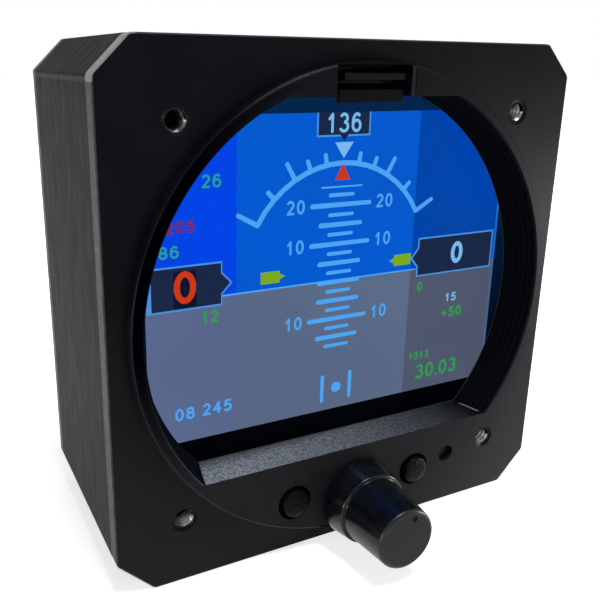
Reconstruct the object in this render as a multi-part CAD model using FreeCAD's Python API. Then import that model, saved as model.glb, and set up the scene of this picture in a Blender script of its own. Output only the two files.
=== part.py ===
import FreeCAD, Part
import math
import os

# Electronic flight instrument for a round 80 mm panel cut-out.
# Millimetres. X to the right, Z up, Y from the pilot's side into the panel.
# The origin is the centre of the four panel holes, on the front face of the flange.

V = FreeCAD.Vector
ALONG = V(0, 1, 0)

# Clearances shared by many pieces
slip_gap = 0.15
part_gap = 0.3
running_gap = 0.05

# Flange and its panel holes
flange_width = 85.6
flange_thickness = 3.15
top_chamfer = 5.3
bottom_chamfer = 6.0
flange_corner_round = 1.2
flange_edge_break = 0.25
panel_hole_inset = 11.365
panel_hole_radius = 1.65
panel_hole_mouth = 2.2
panel_hole_mouth_depth = 0.3
panel_hole_depth = 4.4

# Raised register that fills the round cut-out
register_margin = 3.1
register_height = 2.4
edge_break = 0.35

# Recess in front of the display, cut flat at its top and bottom
register_wall = 1.85
recess_narrowing = 1.15
recess_depth = 6.9
recess_steps = 6
step_undercut = 0.22
recess_top_cut = 3.45
recess_bottom_cut = 13.25

# Display stack
gasket_thickness = 0.2
glass_thickness = 1.1
glass_margin = 1.1
active_inset = 1.66
active_shape = 0.75
active_rise = 0.47
side_border = 3.4
top_border = 2.7
bottom_border = 5.3
cell_thickness = 1.4
backlight_thickness = 1.8
tray_wall = 0.6
bezel_behind_glass = 1.3

# Case and rear cover
case_wall = 2.0
case_length = 35.75
cover_thickness = 2.4
case_corner_round = 0.6
cover_edge_break = 0.4
cover_lip_depth = 2.0
cover_lip_wall = 1.6
post_radius = 3.0
post_gap = 0.05
post_top_inset = 16.8
post_bottom_inset = 7.8
post_bottom_rise = 6.3
case_screw_radius = 1.5
case_screw_head_radius = 2.8
case_screw_head_depth = 1.7
case_screw_bite = 3.6

# Carrier behind the display
carrier_thickness = 2.0
carrier_band = 8.0
carrier_boss_radius = 2.5
carrier_boss_x = 15.0
carrier_boss_inset = 14.6
carrier_relief_side = 3.0
carrier_relief_gap = 1.5
carrier_floor = 0.5
small_screw_radius = 1.25
small_screw_head_radius = 2.2
small_screw_head_height = 1.5
small_screw_bite = 3.0
board_screw_reach = 4.0

# Main circuit board
board_thickness = 1.6
board_side_gap = 3.3
board_bottom_gap = 2.3
board_top_gap = 2.25
board_corner_cut = 9.3
standoff_height = 5.0
standoff_side = 4.0
standoff_top = 4.5
standoff_bottom = 14.5

# Front web that the controls pass through
web_thickness = 3.0

# Push buttons
button_x = 12.5
button_rise = 1.8
button_radius = 2.7
button_hole_gap = 0.3
button_hole_break = 0.15
button_stand = 0.9
button_dome = 0.45
button_edge = 0.15
button_flange_radius = 3.7
button_flange_thickness = 0.8
button_stem = 0.4
button_travel = 0.3
button_pocket_half = 4.0
switch_size = 6.0
switch_depth = 3.4
plunger_radius = 1.75
plunger_bite = 0.8

# Light sensor
sensor_x = 19.9
sensor_rise = 3.2
sensor_hole_radius = 1.6
sensor_guide_radius = 2.3
sensor_guide_recess = 0.9
sensor_chip_size = 2.4
sensor_chip_height = 0.8

# Rotary encoder
encoder_rise = 8.6
encoder_size = 11.6
encoder_depth = 6.5
encoder_floor = 0.6
bushing_radius = 3.5
bushing_length = 7.0
shaft_radius = 3.0
shaft_reach = 13.0
shaft_flat = 1.5
shaft_flat_gap = 1.0
tail_radius = 2.0
tail_flat = 0.5
push_travel = 0.5
rotor_radius = 4.3
rotor_thickness = 1.8
rotor_front_wall = 1.5
detent_count = 24
detent_radius = 0.22
washer_radius = 5.3
washer_thickness = 0.5
nut_across_flats = 10.0
nut_thickness = 2.0
dome_thickness = 0.25
dome_ledge = 1.2

# Knob
knob_stand = 0.9
skirt_base_radius = 7.2
skirt_rim_radius = 6.6
skirt_length = 4.4
skirt_foot = 0.9
skirt_lean = 0.15
skirt_round = 0.35
knob_length = 14.1
body_base_radius = 5.75
body_base_round = 0.2
body_end_radius = 5.3
body_end_round = 0.55
cap_radius = 4.6
cap_thickness = 0.9
knob_wall = 0.5
cap_dimple_radius = 0.45
cap_dimple_inset = 0.8
cap_dimple_turn = 20.0

# Memory card, its socket and the notch in the register
notch_half_width = 7.2
notch_rim = 0.6
notch_depth = 4.1
card_drop = 1.75
card_width = 11.0
card_length = 15.0
card_thickness = 0.7
card_lip_thickness = 1.0
card_lip_length = 1.5
card_corner_width = 1.2
card_corner_length = 4.5
card_recess = 0.7
card_push = 0.6
socket_half_width = 7.0
socket_height = 2.1
socket_rise = 1.0
socket_tail = 1.6
socket_plate = 0.4
guide_half_width = 6.5
guide_sink = 0.8
guide_height = 1.9
guide_thickness = 1.5
card_board_thickness = 0.8
card_board_half_width = 9.0
card_board_length = 12.0
bracket_length = 7.0
bracket_width = 3.0
bracket_height = 1.6

# Board for the controls and the connector behind it
control_board_gap = 0.7
control_board_rise = 2.9
stack_width = 16.0
stack_height = 2.5
stack_rise = 3.45

# Rear connector with two rows of contacts
connector_z = -16.0
connector_flange_width = 30.8
connector_flange_height = 12.5
connector_flange_thickness = 0.8
connector_shell_width = 16.6
connector_shell_height = 8.0
connector_shell_length = 5.9
connector_shell_wall = 0.4
connector_body_width = 19.0
connector_body_height = 10.4
connector_body_depth = 8.0
connector_screw_spacing = 24.99
connector_slope = 10.0
insulator_recess = 0.2
contact_pitch = 2.77
contact_row_spacing = 2.84
contact_radius = 0.5
contact_recess = 0.9
contact_bore_depth = 5.0
contact_tail = 2.5
jack_across_flats = 4.8
jack_length = 5.0
jack_bore_radius = 1.2
jack_floor = 0.5
jack_stem = 3.0
jack_nut_thickness = 1.8

# Pressure fittings in the rear cover
fitting_drop = 16.0
pitot_edge = 17.5
static_x = 2.0
fitting_bore = 1.0
barb_length = 8.1
barb_radius = 2.1
barb_flare = 0.45
barb_lead = 1.2
barb_step = 0.15
barb_count = 3
fitting_hex = 8.0
fitting_hex_length = 3.0
fitting_thread_radius = 3.0
fitting_nut_thickness = 2.5
fitting_neck = 0.8
tube_wall = 0.8

# Pressure sensors on the main board
pressure_sensor_size = 11.0
pressure_sensor_height = 5.0
port_radius = 1.7
port_share = 0.33
hose_end_gap = 0.9
leg_count = 4
leg_reach = 0.6
leg_width = 0.5
leg_thickness = 0.3

# Antenna connector
antenna_edge = 13.5
antenna_barrel_radius = 3.1
antenna_barrel_length = 9.0
antenna_hex = 8.0
antenna_hex_length = 2.0
antenna_nut_thickness = 2.2
antenna_core_radius = 0.65
antenna_core_depth = 5.0
antenna_insulator_radius = 2.1
antenna_insulator_recess = 1.5
antenna_tail_length = 5.0
cable_radius = 0.7
cable_bend = 3.0
cable_reach = 4.5
plug_radius = 1.3
plug_height = 1.4
plug_drop = 2.0

# Parts on the main board
shield_x = -4.5
shield_z = -11.0
shield_width = 22.0
shield_height = 22.0
shield_thickness = 2.6
shield_wall = 0.3
receiver_width = 16.0
receiver_height = 12.0
receiver_thickness = 2.4
chip_x = 14.5
chip_edge = 10.5
chip_upper_z = -7.0
chip_lower_z = -19.0
chip_thickness = 1.2
memory_width = 9.0
memory_height = 11.0
driver_size = 7.0
regulator_size = 5.5
clock_size = 5.0
supply_rise = 10.0
supply_gap = 1.2
coil_size = 7.0
coil_height = 3.2
capacitor_radius = 3.15
capacitor_height = 5.8
attitude_edge = 10.5
attitude_z = -9.0
attitude_board_width = 15.0
attitude_board_height = 16.0
attitude_board_thickness = 1.2
pillar_radius = 1.6
pillar_height = 4.0
pillar_inset = 2.2
motion_size = 3.0
field_size = 2.0
field_offset = 3.4
package_thickness = 0.9

# Flexible leads
flex_x = 4.0
flex_low = -12.0
flex_turn = 4.0
flex_slope = 3.0
flex_end = 14.0
flex_bend = 1.6
flex_thickness = 0.2
flex_width = 16.0
flex_connector_margin = 1.0
flex_connector_height = 5.5
flex_connector_thickness = 0.8
ribbon_thickness = 0.9
ribbon_width = 11.5
ribbon_top = 3.5
ribbon_drop = 12.0
ribbon_bend = 2.5
header_width = 14.0
header_height = 5.0
header_depth = 4.0

# Places across the front, worked out from the sizes above
flange_half = flange_width / 2
panel_hole_place = flange_half - panel_hole_inset
register_radius = flange_half - register_margin
recess_mouth_radius = register_radius - register_wall
recess_floor_radius = recess_mouth_radius - recess_narrowing
recess_top = recess_mouth_radius - recess_top_cut
recess_bottom = recess_bottom_cut - recess_mouth_radius
glass_radius = recess_floor_radius + glass_margin
glass_top = recess_top + glass_margin
glass_bottom = recess_bottom - glass_margin
active_width = 2 * (recess_floor_radius - active_inset)
active_height = active_width * active_shape
active_centre = (recess_top + recess_bottom) / 2 + active_rise
module_half_width = active_width / 2 + side_border
module_top = active_centre + active_height / 2 + top_border
module_bottom = active_centre - active_height / 2 - bottom_border
encoder_z = encoder_rise - flange_half
button_z = encoder_z + button_rise
sensor_z = encoder_z + sensor_rise
notch_top = register_radius - notch_rim
card_z = notch_top - card_drop
socket_top = card_z + socket_rise
socket_bottom = socket_top - socket_height
guide_bottom = recess_top - guide_sink

# Places from front to back
bezel_front = -register_height
web_back = bezel_front + web_thickness
glass_seat = bezel_front + recess_depth
glass_front = glass_seat + gasket_thickness
cell_front = glass_front + glass_thickness
backlight_front = cell_front + cell_thickness
carrier_front = backlight_front + backlight_thickness
carrier_back = carrier_front + carrier_thickness
bezel_back = cell_front + bezel_behind_glass
control_board_front = web_back + encoder_depth
control_board_back = control_board_front + board_thickness
board_front = carrier_back + standoff_height
board_back = board_front + board_thickness
case_back = flange_thickness + case_length
cover_back = case_back + cover_thickness
socket_front = bezel_front + notch_depth + slip_gap
card_front = bezel_front + card_recess
socket_well = card_front + card_length + card_push + part_gap
socket_back = socket_well + socket_tail
knob_base = bezel_front - knob_stand
knob_front = knob_base - knob_length
plunger_front = web_back + part_gap + button_flange_thickness + button_stem
switch_front = control_board_front - switch_depth
sensor_top = board_back + pressure_sensor_height
fitting_root = case_back - fitting_nut_thickness - fitting_neck
hose_room = fitting_root - sensor_top - hose_end_gap
port_length = hose_room * port_share
inner_barb_length = hose_room - port_length

# Places on and around the main board
board_half_width = flange_half - case_wall - board_side_gap
board_bottom = case_wall + board_bottom_gap - flange_half
board_top = socket_bottom - board_top_gap
fitting_z = board_top - fitting_drop
pitot_x = pitot_edge - board_half_width
antenna_x = board_half_width - antenna_edge
plug_z = fitting_z - receiver_height / 2 - plug_drop
attitude_x = attitude_edge - board_half_width
attitude_front = board_back + pillar_height
header_z = connector_z - ribbon_drop
post_top_x = flange_half - post_top_inset
post_top_z = module_top + post_radius + post_gap
post_bottom_x = flange_half - post_bottom_inset
post_bottom_z = post_bottom_rise - flange_half
carrier_boss_low_x = flange_half - carrier_boss_inset
case_posts = [
    (-post_top_x, post_top_z),
    (post_top_x, post_top_z),
    (-post_bottom_x, post_bottom_z),
    (post_bottom_x, post_bottom_z),
]
carrier_bosses = [
    (-carrier_boss_x, post_top_z),
    (carrier_boss_x, post_top_z),
    (-carrier_boss_low_x, post_bottom_z),
    (carrier_boss_low_x, post_bottom_z),
]
standoff_x = board_half_width - standoff_side
board_standoffs = [
    (-standoff_x, board_top - standoff_top),
    (standoff_x, board_top - standoff_top),
    (-standoff_x, board_bottom + standoff_bottom),
    (standoff_x, board_bottom + standoff_bottom),
]


def box(x0, x1, y0, y1, z0, z1):
    """Block between two corners."""
    return Part.makeBox(x1 - x0, y1 - y0, z1 - z0, V(x0, y0, z0))


def slab(x, z, width, height, y0, y1):
    """Block centred on (x, z), from y0 to y1."""
    return box(x - width / 2, x + width / 2, y0, y1, z - height / 2, z + height / 2)


def rod(x, z, radius, y0, y1):
    """Cylinder whose axis runs along Y."""
    return Part.makeCylinder(radius, y1 - y0, V(x, y0, z), ALONG)


def prism(outline, y0, y1):
    """Outline of (x, z) points, carried from y0 to y1."""
    points = [V(x, y0, z) for x, z in outline]
    face = Part.Face(Part.makePolygon(points + [points[0]]))
    return face.extrude(V(0, y1 - y0, 0))


def rounded_prism(outline, corner_round, y0, y1):
    """Prism whose corners along Y are rounded."""
    body = prism(outline, y0, y1)
    corners = [edge for edge in body.Edges if edge.BoundBox.YLength > (y1 - y0) / 2]
    return body.makeFillet(corner_round, corners)


def edges_at(body, y):
    """Edges of a body that lie in the plane at y."""
    near = slip_gap / 10
    return [edge for edge in body.Edges
            if abs(edge.BoundBox.YMin - y) < near and abs(edge.BoundBox.YMax - y) < near]


def circles_at(body, y, radius):
    """Round edges of a body at y with that radius."""
    return [edge for edge in edges_at(body, y)
            if hasattr(edge.Curve, "Radius") and abs(edge.Curve.Radius - radius) < slip_gap / 10]


def turned(profile, x, z):
    """Closed profile of (radius, y) points, revolved about an axis along Y."""
    points = [V(x + r, y, z) for r, y in profile]
    face = Part.Face(Part.makePolygon(points + [points[0]]))
    return face.revolve(V(x, 0, z), ALONG, 360)


def octagon(inset=0.0):
    """Outline of the flange, moved inwards by inset on every side."""
    half = flange_half - inset
    shrink = inset * (2 - math.sqrt(2))
    top = top_chamfer - shrink
    low = bottom_chamfer - shrink
    return [
        (-half, half - top),
        (-half + top, half),
        (half - top, half),
        (half, half - top),
        (half, -half + low),
        (half - low, -half),
        (-half + low, -half),
        (-half, -half + low),
    ]


def hexagon(across_flats, x, z):
    """Six corners of a hexagon with flats at the sides."""
    reach = across_flats / math.sqrt(3)
    turns = [math.radians(30 + 60 * k) for k in range(6)]
    return [(x + reach * math.cos(t), z + reach * math.sin(t)) for t in turns]


def chord_disc(radius, low, high, y0, y1):
    """Disc about the origin with a flat at the bottom and at the top."""
    band = box(-radius, radius, y0, y1, low, high)
    return rod(0, 0, radius, y0, y1).common(band)


def swept(points, bend, section):
    """Section carried along straight runs joined by arcs of radius bend."""
    edges = []
    start = points[0]
    for before, corner, after in zip(points, points[1:], points[2:]):
        back = (before - corner).normalize()
        ahead = (after - corner).normalize()
        half_turn = back.getAngle(ahead) / 2
        trim = bend / math.tan(half_turn)
        first = corner + back * trim
        last = corner + ahead * trim
        inward = (back + ahead).normalize()
        middle = corner + inward * (bend / math.sin(half_turn) - bend)
        edges.append(Part.LineSegment(start, first).toShape())
        edges.append(Part.Arc(first, middle, last).toShape())
        start = last
    edges.append(Part.LineSegment(start, points[-1]).toShape())
    return Part.Wire(edges).makePipeShell([section], True, False)


def strap(points, bend, width, thickness, x):
    """Flat flexible strip that runs in a YZ plane, centred on x."""
    start = points[0]
    ahead = (points[1] - start).normalize()
    side = V(width / 2, 0, 0)
    lift = ahead.cross(V(1, 0, 0)) * (thickness / 2)
    corners = [start - side - lift, start + side - lift, start + side + lift, start - side + lift]
    section = Part.makePolygon(corners + [corners[0]])
    return swept(points, bend, section)


def flat_screw(x, z, radius, head_radius, head_depth, seat, tip):
    """Countersunk screw: head flush at seat, tip towards the front."""
    neck = seat - head_depth
    profile = [(0, seat), (head_radius, seat), (radius, neck), (radius, tip + radius * 0.3)]
    profile += [(radius * 0.7, tip), (0, tip)]
    screw = turned(profile, x, z)
    drive = prism(hexagon(radius * 1.3, x, z), seat - head_depth * 0.7, seat)
    return screw.cut(drive)


def pan_screw(x, z, radius, head_radius, head_height, seat, tip):
    """Pan head screw that bears on seat, tip towards the front."""
    top = seat + head_height
    profile = [(0, top), (head_radius * 0.75, top), (head_radius, top - head_height * 0.45)]
    profile += [(head_radius, seat), (radius, seat), (radius, tip + radius * 0.3)]
    profile += [(radius * 0.7, tip), (0, tip)]
    screw = turned(profile, x, z)
    drive = prism(hexagon(radius * 1.2, x, z), top - head_height * 0.6, top)
    return screw.cut(drive)


def recess_cutter():
    """Round recess that narrows in ridged steps, flat at its top and bottom."""
    profile = [(0, bezel_front), (recess_mouth_radius + edge_break, bezel_front)]
    step = (glass_seat - bezel_front) / recess_steps
    narrowing = (recess_mouth_radius - recess_floor_radius) / recess_steps
    for k in range(recess_steps):
        radius = recess_mouth_radius - narrowing * k
        y = bezel_front + step * k
        profile.append((radius - narrowing, y + step * 0.35))
        profile.append((radius - narrowing + step_undercut, y + step))
    profile[-1] = (recess_floor_radius, glass_seat)
    profile.append((0, glass_seat))
    band = box(-flange_half, flange_half, bezel_front, glass_seat, recess_bottom, recess_top)
    return turned(profile, 0, 0).common(band)


def front_bezel():
    """Machined frame: flange, raised register, recess and all its pockets."""
    flange = rounded_prism(octagon(), flange_corner_round, 0, flange_thickness)
    flange = flange.makeChamfer(flange_edge_break, edges_at(flange, 0))
    spigot = prism(octagon(case_wall + slip_gap), flange_thickness, bezel_back)
    rim = register_radius - edge_break
    register = turned(
        [(0, bezel_front), (rim, bezel_front), (register_radius, bezel_front + edge_break),
         (register_radius, 0), (0, 0)], 0, 0)
    body = flange.fuse([spigot, register])
    cutters = [recess_cutter()]
    cutters.append(chord_disc(glass_radius + slip_gap, glass_bottom - slip_gap,
                              glass_top + slip_gap, glass_seat, bezel_back))
    cutters.append(box(-module_half_width - slip_gap, module_half_width + slip_gap, cell_front,
                       bezel_back, module_bottom - slip_gap, module_top + slip_gap))
    for x in (-panel_hole_place, panel_hole_place):
        for z in (-panel_hole_place, panel_hole_place):
            cutters.append(turned(
                [(0, 0), (panel_hole_mouth, 0), (panel_hole_radius, panel_hole_mouth_depth),
                 (panel_hole_radius, panel_hole_depth), (0, panel_hole_depth)], x, z))
    for x, z in case_posts:
        cutters.append(rod(x, z, case_screw_radius, bezel_back - case_screw_bite, bezel_back))
    for x, z in carrier_bosses:
        cutters.append(rod(x, z, small_screw_radius, bezel_back - small_screw_bite, bezel_back))
    cutters += control_pockets()
    cutters += card_pockets()
    return body.cut(cutters).removeSplitter()


def control_pockets():
    """Holes and rear pockets for the knob, the buttons and the light sensor."""
    cutters = [rod(0, encoder_z, bushing_radius + running_gap, bezel_front, web_back)]
    half = encoder_size / 2 + part_gap
    below = flange_half - case_wall - slip_gap + encoder_z
    cutters.append(box(-half, half, web_back, bezel_back, encoder_z - half, encoder_z + half))
    cutters.append(box(-half, half, flange_thickness, bezel_back, encoder_z - below - 1, encoder_z))
    reach = button_pocket_half
    for x in (-button_x, button_x):
        hole = button_radius + button_hole_gap
        cutters.append(turned(
            [(0, bezel_front), (hole + button_hole_break, bezel_front),
             (hole, bezel_front + button_hole_break), (hole, web_back), (0, web_back)],
            x, button_z))
        cutters.append(box(x - reach, x + reach, web_back, bezel_back,
                           button_z - reach, button_z + reach))
    cutters.append(rod(sensor_x, sensor_z, sensor_hole_radius, bezel_front, web_back))
    cutters.append(rod(sensor_x, sensor_z, sensor_guide_radius + slip_gap, web_back, bezel_back))
    return cutters


def card_pockets():
    """Notch in the register and the slot for the card socket behind it."""
    floor = bezel_front + notch_depth
    notch = box(-notch_half_width, notch_half_width, bezel_front, floor, recess_top - 1, notch_top)
    reach = socket_half_width + slip_gap
    slot = box(-reach, reach, floor, bezel_back, socket_bottom - slip_gap, socket_top + slip_gap)
    return [notch, slot]


def display_glass():
    return chord_disc(glass_radius, glass_bottom, glass_top, glass_front, cell_front)


def glass_gasket():
    """Thin frame that the glass is pressed against."""
    outer = chord_disc(glass_radius, glass_bottom, glass_top, glass_seat, glass_front)
    inner = chord_disc(recess_floor_radius, recess_bottom, recess_top, glass_seat, glass_front)
    return outer.cut(inner)


def lcd_cell():
    """Display cell: the two bonded glass sheets with the picture between them."""
    return box(-module_half_width, module_half_width, cell_front, backlight_front,
               module_bottom, module_top)


def backlight_frame():
    """Pressed tray that holds the light guide behind the cell."""
    tray = box(-module_half_width, module_half_width, backlight_front, carrier_front,
               module_bottom, module_top)
    return tray.cut(box(-module_half_width + tray_wall, module_half_width - tray_wall,
                        backlight_front, carrier_front - tray_wall,
                        module_bottom + tray_wall, module_top - tray_wall))


def light_guide():
    """Clear sheet that spreads the backlight, lying in the tray."""
    wall = tray_wall + slip_gap
    return box(-module_half_width + wall, module_half_width - wall, backlight_front,
               carrier_front - tray_wall, module_bottom + wall, module_top - wall)


def case_body():
    """Printed box with a screw tube in each corner region."""
    outer = rounded_prism(octagon(), case_corner_round, flange_thickness, case_back)
    body = outer.cut(prism(octagon(case_wall), flange_thickness, case_back))
    inside = prism(octagon(case_wall / 2), bezel_back, case_back)
    for x, z in case_posts:
        side = math.copysign(1, z)
        web = box(x - post_radius * 0.6, x + post_radius * 0.6, bezel_back, case_back,
                  min(z, side * flange_half), max(z, side * flange_half))
        post = rod(x, z, post_radius, bezel_back, case_back).fuse(web)
        body = body.fuse(post.common(inside))
    for x, z in case_posts:
        body = body.cut(rod(x, z, case_screw_radius + slip_gap, bezel_back, case_back))
    return body.removeSplitter()


def rear_cover():
    """Printed cover with a lip inside the case and holes for what passes through."""
    cover = rounded_prism(octagon(), case_corner_round, case_back, cover_back)
    cover = cover.makeChamfer(cover_edge_break, edges_at(cover, cover_back))
    lip_outer = prism(octagon(case_wall + slip_gap), case_back - cover_lip_depth, case_back)
    lip_inner = prism(octagon(case_wall + slip_gap + cover_lip_wall),
                      case_back - cover_lip_depth, case_back)
    cover = cover.fuse(lip_outer.cut(lip_inner))
    clear = post_radius + part_gap
    for x, z in case_posts:
        edge = math.copysign(flange_half, z)
        cover = cover.cut(box(x - clear, x + clear, case_back - cover_lip_depth, case_back,
                              min(z - clear, edge), max(z + clear, edge)))
        cover = cover.cut(rod(x, z, clear, case_back - cover_lip_depth, case_back))
        cover = cover.cut(rod(x, z, case_screw_radius + slip_gap, case_back, cover_back))
        cover = cover.cut(turned(
            [(0, cover_back), (case_screw_head_radius, cover_back),
             (case_screw_radius, cover_back - case_screw_head_depth),
             (0, cover_back - case_screw_head_depth)], x, z))
    for x in (pitot_x, static_x):
        cover = cover.cut(rod(x, fitting_z, fitting_thread_radius, case_back, cover_back))
    cover = cover.cut(rod(antenna_x, fitting_z, antenna_barrel_radius, case_back, cover_back))
    cover = cover.cut(connector_opening())
    return cover.removeSplitter()


def connector_outline(width, height):
    """D-shaped outline: wider at the top than at the bottom."""
    lean = height * math.tan(math.radians(connector_slope))
    top = width / 2
    low = top - lean
    return [
        (-low, connector_z - height / 2),
        (low, connector_z - height / 2),
        (top, connector_z + height / 2),
        (-top, connector_z + height / 2),
    ]


def connector_opening():
    """Window and screw holes in the cover for the rear connector."""
    window = prism(connector_outline(connector_shell_width + 2 * part_gap,
                                     connector_shell_height + 2 * part_gap),
                   case_back, cover_back)
    tools = [window]
    for x in (-connector_screw_spacing / 2, connector_screw_spacing / 2):
        tools.append(rod(x, connector_z, small_screw_radius + slip_gap, case_back, cover_back))
    return Part.makeCompound(tools)


def connector_shell():
    """Pressed metal shell: a flange behind the cover and a D-shaped skirt."""
    flange_front = case_back - connector_flange_thickness
    tip = cover_back + connector_shell_length
    flange = slab(0, connector_z, connector_flange_width, connector_flange_height,
                  flange_front, case_back)
    skirt = prism(connector_outline(connector_shell_width, connector_shell_height),
                  case_back, tip)
    wall = 2 * connector_shell_wall
    hollow = prism(connector_outline(connector_shell_width - wall, connector_shell_height - wall),
                   flange_front, tip)
    shell = flange.fuse(skirt).cut(hollow)
    for x in (-connector_screw_spacing / 2, connector_screw_spacing / 2):
        shell = shell.cut(rod(x, connector_z, small_screw_radius, flange_front, case_back))
    return shell.removeSplitter()


def contact_places():
    """Nine places: five contacts in the upper row and four in the lower one."""
    places = []
    for count, row in ((5, 1), (4, -1)):
        for k in range(count):
            x = (k - (count - 1) / 2) * contact_pitch
            places.append((x, connector_z + row * contact_row_spacing / 2))
    return places


def connector_insulator():
    """Moulded block with a hole for each contact."""
    wall = 2 * connector_shell_wall
    tip = cover_back + connector_shell_length - insulator_recess
    flange_front = case_back - connector_flange_thickness
    tail = case_back - connector_body_depth
    block = prism(connector_outline(connector_shell_width - wall, connector_shell_height - wall),
                  flange_front, tip)
    block = block.fuse(slab(0, connector_z, connector_body_width, connector_body_height,
                            tail, flange_front))
    for x, z in contact_places():
        block = block.cut(rod(x, z, contact_radius, tail, tip))
    return block.removeSplitter()


def connector_contacts():
    """Hollow contacts that fill the holes and end in solder tails."""
    pins = []
    tip = cover_back + connector_shell_length - contact_recess
    tail = case_back - connector_body_depth - contact_tail
    for x, z in contact_places():
        pin = rod(x, z, contact_radius, tail, tip)
        pins.append(pin.cut(rod(x, z, contact_radius * 0.55, tip - contact_bore_depth, tip)))
    return Part.makeCompound(pins)


def jack_screws():
    """Two hexagonal posts that a plug is screwed to."""
    posts = []
    tip = cover_back + jack_length
    nut_back = case_back - connector_flange_thickness
    for x in (-connector_screw_spacing / 2, connector_screw_spacing / 2):
        outline = hexagon(jack_across_flats, x, connector_z)
        post = prism(outline, cover_back, tip)
        stem = rod(x, connector_z, small_screw_radius, case_back - jack_stem, cover_back)
        nut = prism(outline, nut_back - jack_nut_thickness, nut_back)
        post = post.fuse([stem, nut])
        posts.append(post.cut(rod(x, connector_z, jack_bore_radius, cover_back + jack_floor, tip)))
    return Part.makeCompound(posts)


def barb_profile(root, direction, length):
    """Radius and place pairs of a ringed hose end of that length, starting at root."""
    pitch = (length - barb_lead) / barb_count
    points = [(barb_radius, root)]
    for k in range(barb_count):
        y = root + direction * (barb_lead + pitch * k)
        points.append((barb_radius, y))
        points.append((barb_radius + barb_flare, y + direction * barb_step))
        points.append((barb_radius - barb_step, y + direction * pitch))
    return points


def hose_fitting(x):
    """Bulkhead fitting: hexagon outside the cover, thread and a hose end each way."""
    outside = cover_back + fitting_hex_length
    outer = barb_profile(outside, 1, barb_length)
    inner = barb_profile(fitting_root, -1, inner_barb_length)
    profile = [(fitting_bore, inner[-1][1])] + inner[::-1]
    profile += [(fitting_thread_radius, fitting_root), (fitting_thread_radius, outside)]
    profile += outer + [(fitting_bore, outer[-1][1])]
    body = turned(profile, x, fitting_z)
    collar = prism(hexagon(fitting_hex, x, fitting_z), cover_back, outside)
    collar = collar.cut(rod(x, fitting_z, fitting_thread_radius, cover_back, outside))
    return body.fuse(collar).removeSplitter()


def fitting_nuts():
    """Hexagon nuts that hold the two hose fittings inside the cover."""
    nuts = []
    front = case_back - fitting_nut_thickness
    for x in (pitot_x, static_x):
        nut = prism(hexagon(fitting_hex, x, fitting_z), front, case_back)
        nuts.append(nut.cut(rod(x, fitting_z, fitting_thread_radius, front, case_back)))
    return Part.makeCompound(nuts)


def pressure_sensor(x):
    """Moulded sensor on the main board with a port that points to the rear."""
    size = pressure_sensor_size
    tip = sensor_top + port_length
    body = slab(x, fitting_z, size, size, board_back, sensor_top)
    pieces = [rod(x, fitting_z, port_radius, sensor_top, tip)]
    pitch = size / leg_count
    for k in range(leg_count):
        z = fitting_z - size / 2 + pitch * (k + 0.5)
        for side in (-1, 1):
            pieces.append(slab(x + side * size / 2, z, 2 * leg_reach, leg_width, board_back,
                               board_back + leg_thickness))
    bore = rod(x, fitting_z, port_radius * 0.45, sensor_top, tip)
    return body.fuse(pieces).cut(bore).removeSplitter()


def pressure_tube(x):
    """Soft tube between the sensor's port and the fitting's inner hose end."""
    inner_end = fitting_root - inner_barb_length - part_gap
    start = sensor_top + part_gap
    outer = barb_radius + barb_flare + tube_wall
    tube = rod(x, fitting_z, outer, start, fitting_root - part_gap)
    tube = tube.cut(rod(x, fitting_z, port_radius, start, inner_end))
    profile = [(0, fitting_root)] + barb_profile(fitting_root, -1, inner_barb_length)
    profile.append((0, inner_end))
    return tube.cut(turned(profile, x, fitting_z))


def antenna_connector():
    """Coaxial connector: threaded barrel, hexagon, and a nut inside the cover."""
    outside = cover_back + antenna_hex_length
    tip = outside + antenna_barrel_length
    tail = case_back - antenna_tail_length
    barrel = rod(antenna_x, fitting_z, antenna_barrel_radius, tail, tip)
    collar = prism(hexagon(antenna_hex, antenna_x, fitting_z), cover_back, outside)
    nut = prism(hexagon(antenna_hex, antenna_x, fitting_z), case_back - antenna_nut_thickness,
                case_back)
    body = barrel.fuse([collar, nut])
    return body.cut(rod(antenna_x, fitting_z, antenna_insulator_radius, tail, tip)).removeSplitter()


def antenna_insulator():
    """White core of the coaxial connector with its centre hole."""
    tail = case_back - antenna_tail_length
    tip = cover_back + antenna_hex_length + antenna_barrel_length - antenna_insulator_recess
    core = rod(antenna_x, fitting_z, antenna_insulator_radius, tail, tip)
    return core.cut(rod(antenna_x, fitting_z, antenna_core_radius, tip - antenna_core_depth, tip))


def antenna_cable():
    """Thin coaxial lead from the connector down to the receiver."""
    start = V(antenna_x, case_back - antenna_tail_length, fitting_z)
    corner = V(antenna_x, start.y - cable_reach, fitting_z)
    low = V(antenna_x, start.y - cable_reach, plug_z)
    end = V(antenna_x, board_back + plug_height, plug_z)
    section = Part.Wire(Part.makeCircle(cable_radius, start, ALONG))
    return swept([start, corner, low, end], cable_bend, section)


def cable_plug():
    """Small round plug on the board that the lead ends in."""
    return rod(antenna_x, plug_z, plug_radius, board_back, board_back + plug_height)


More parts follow.
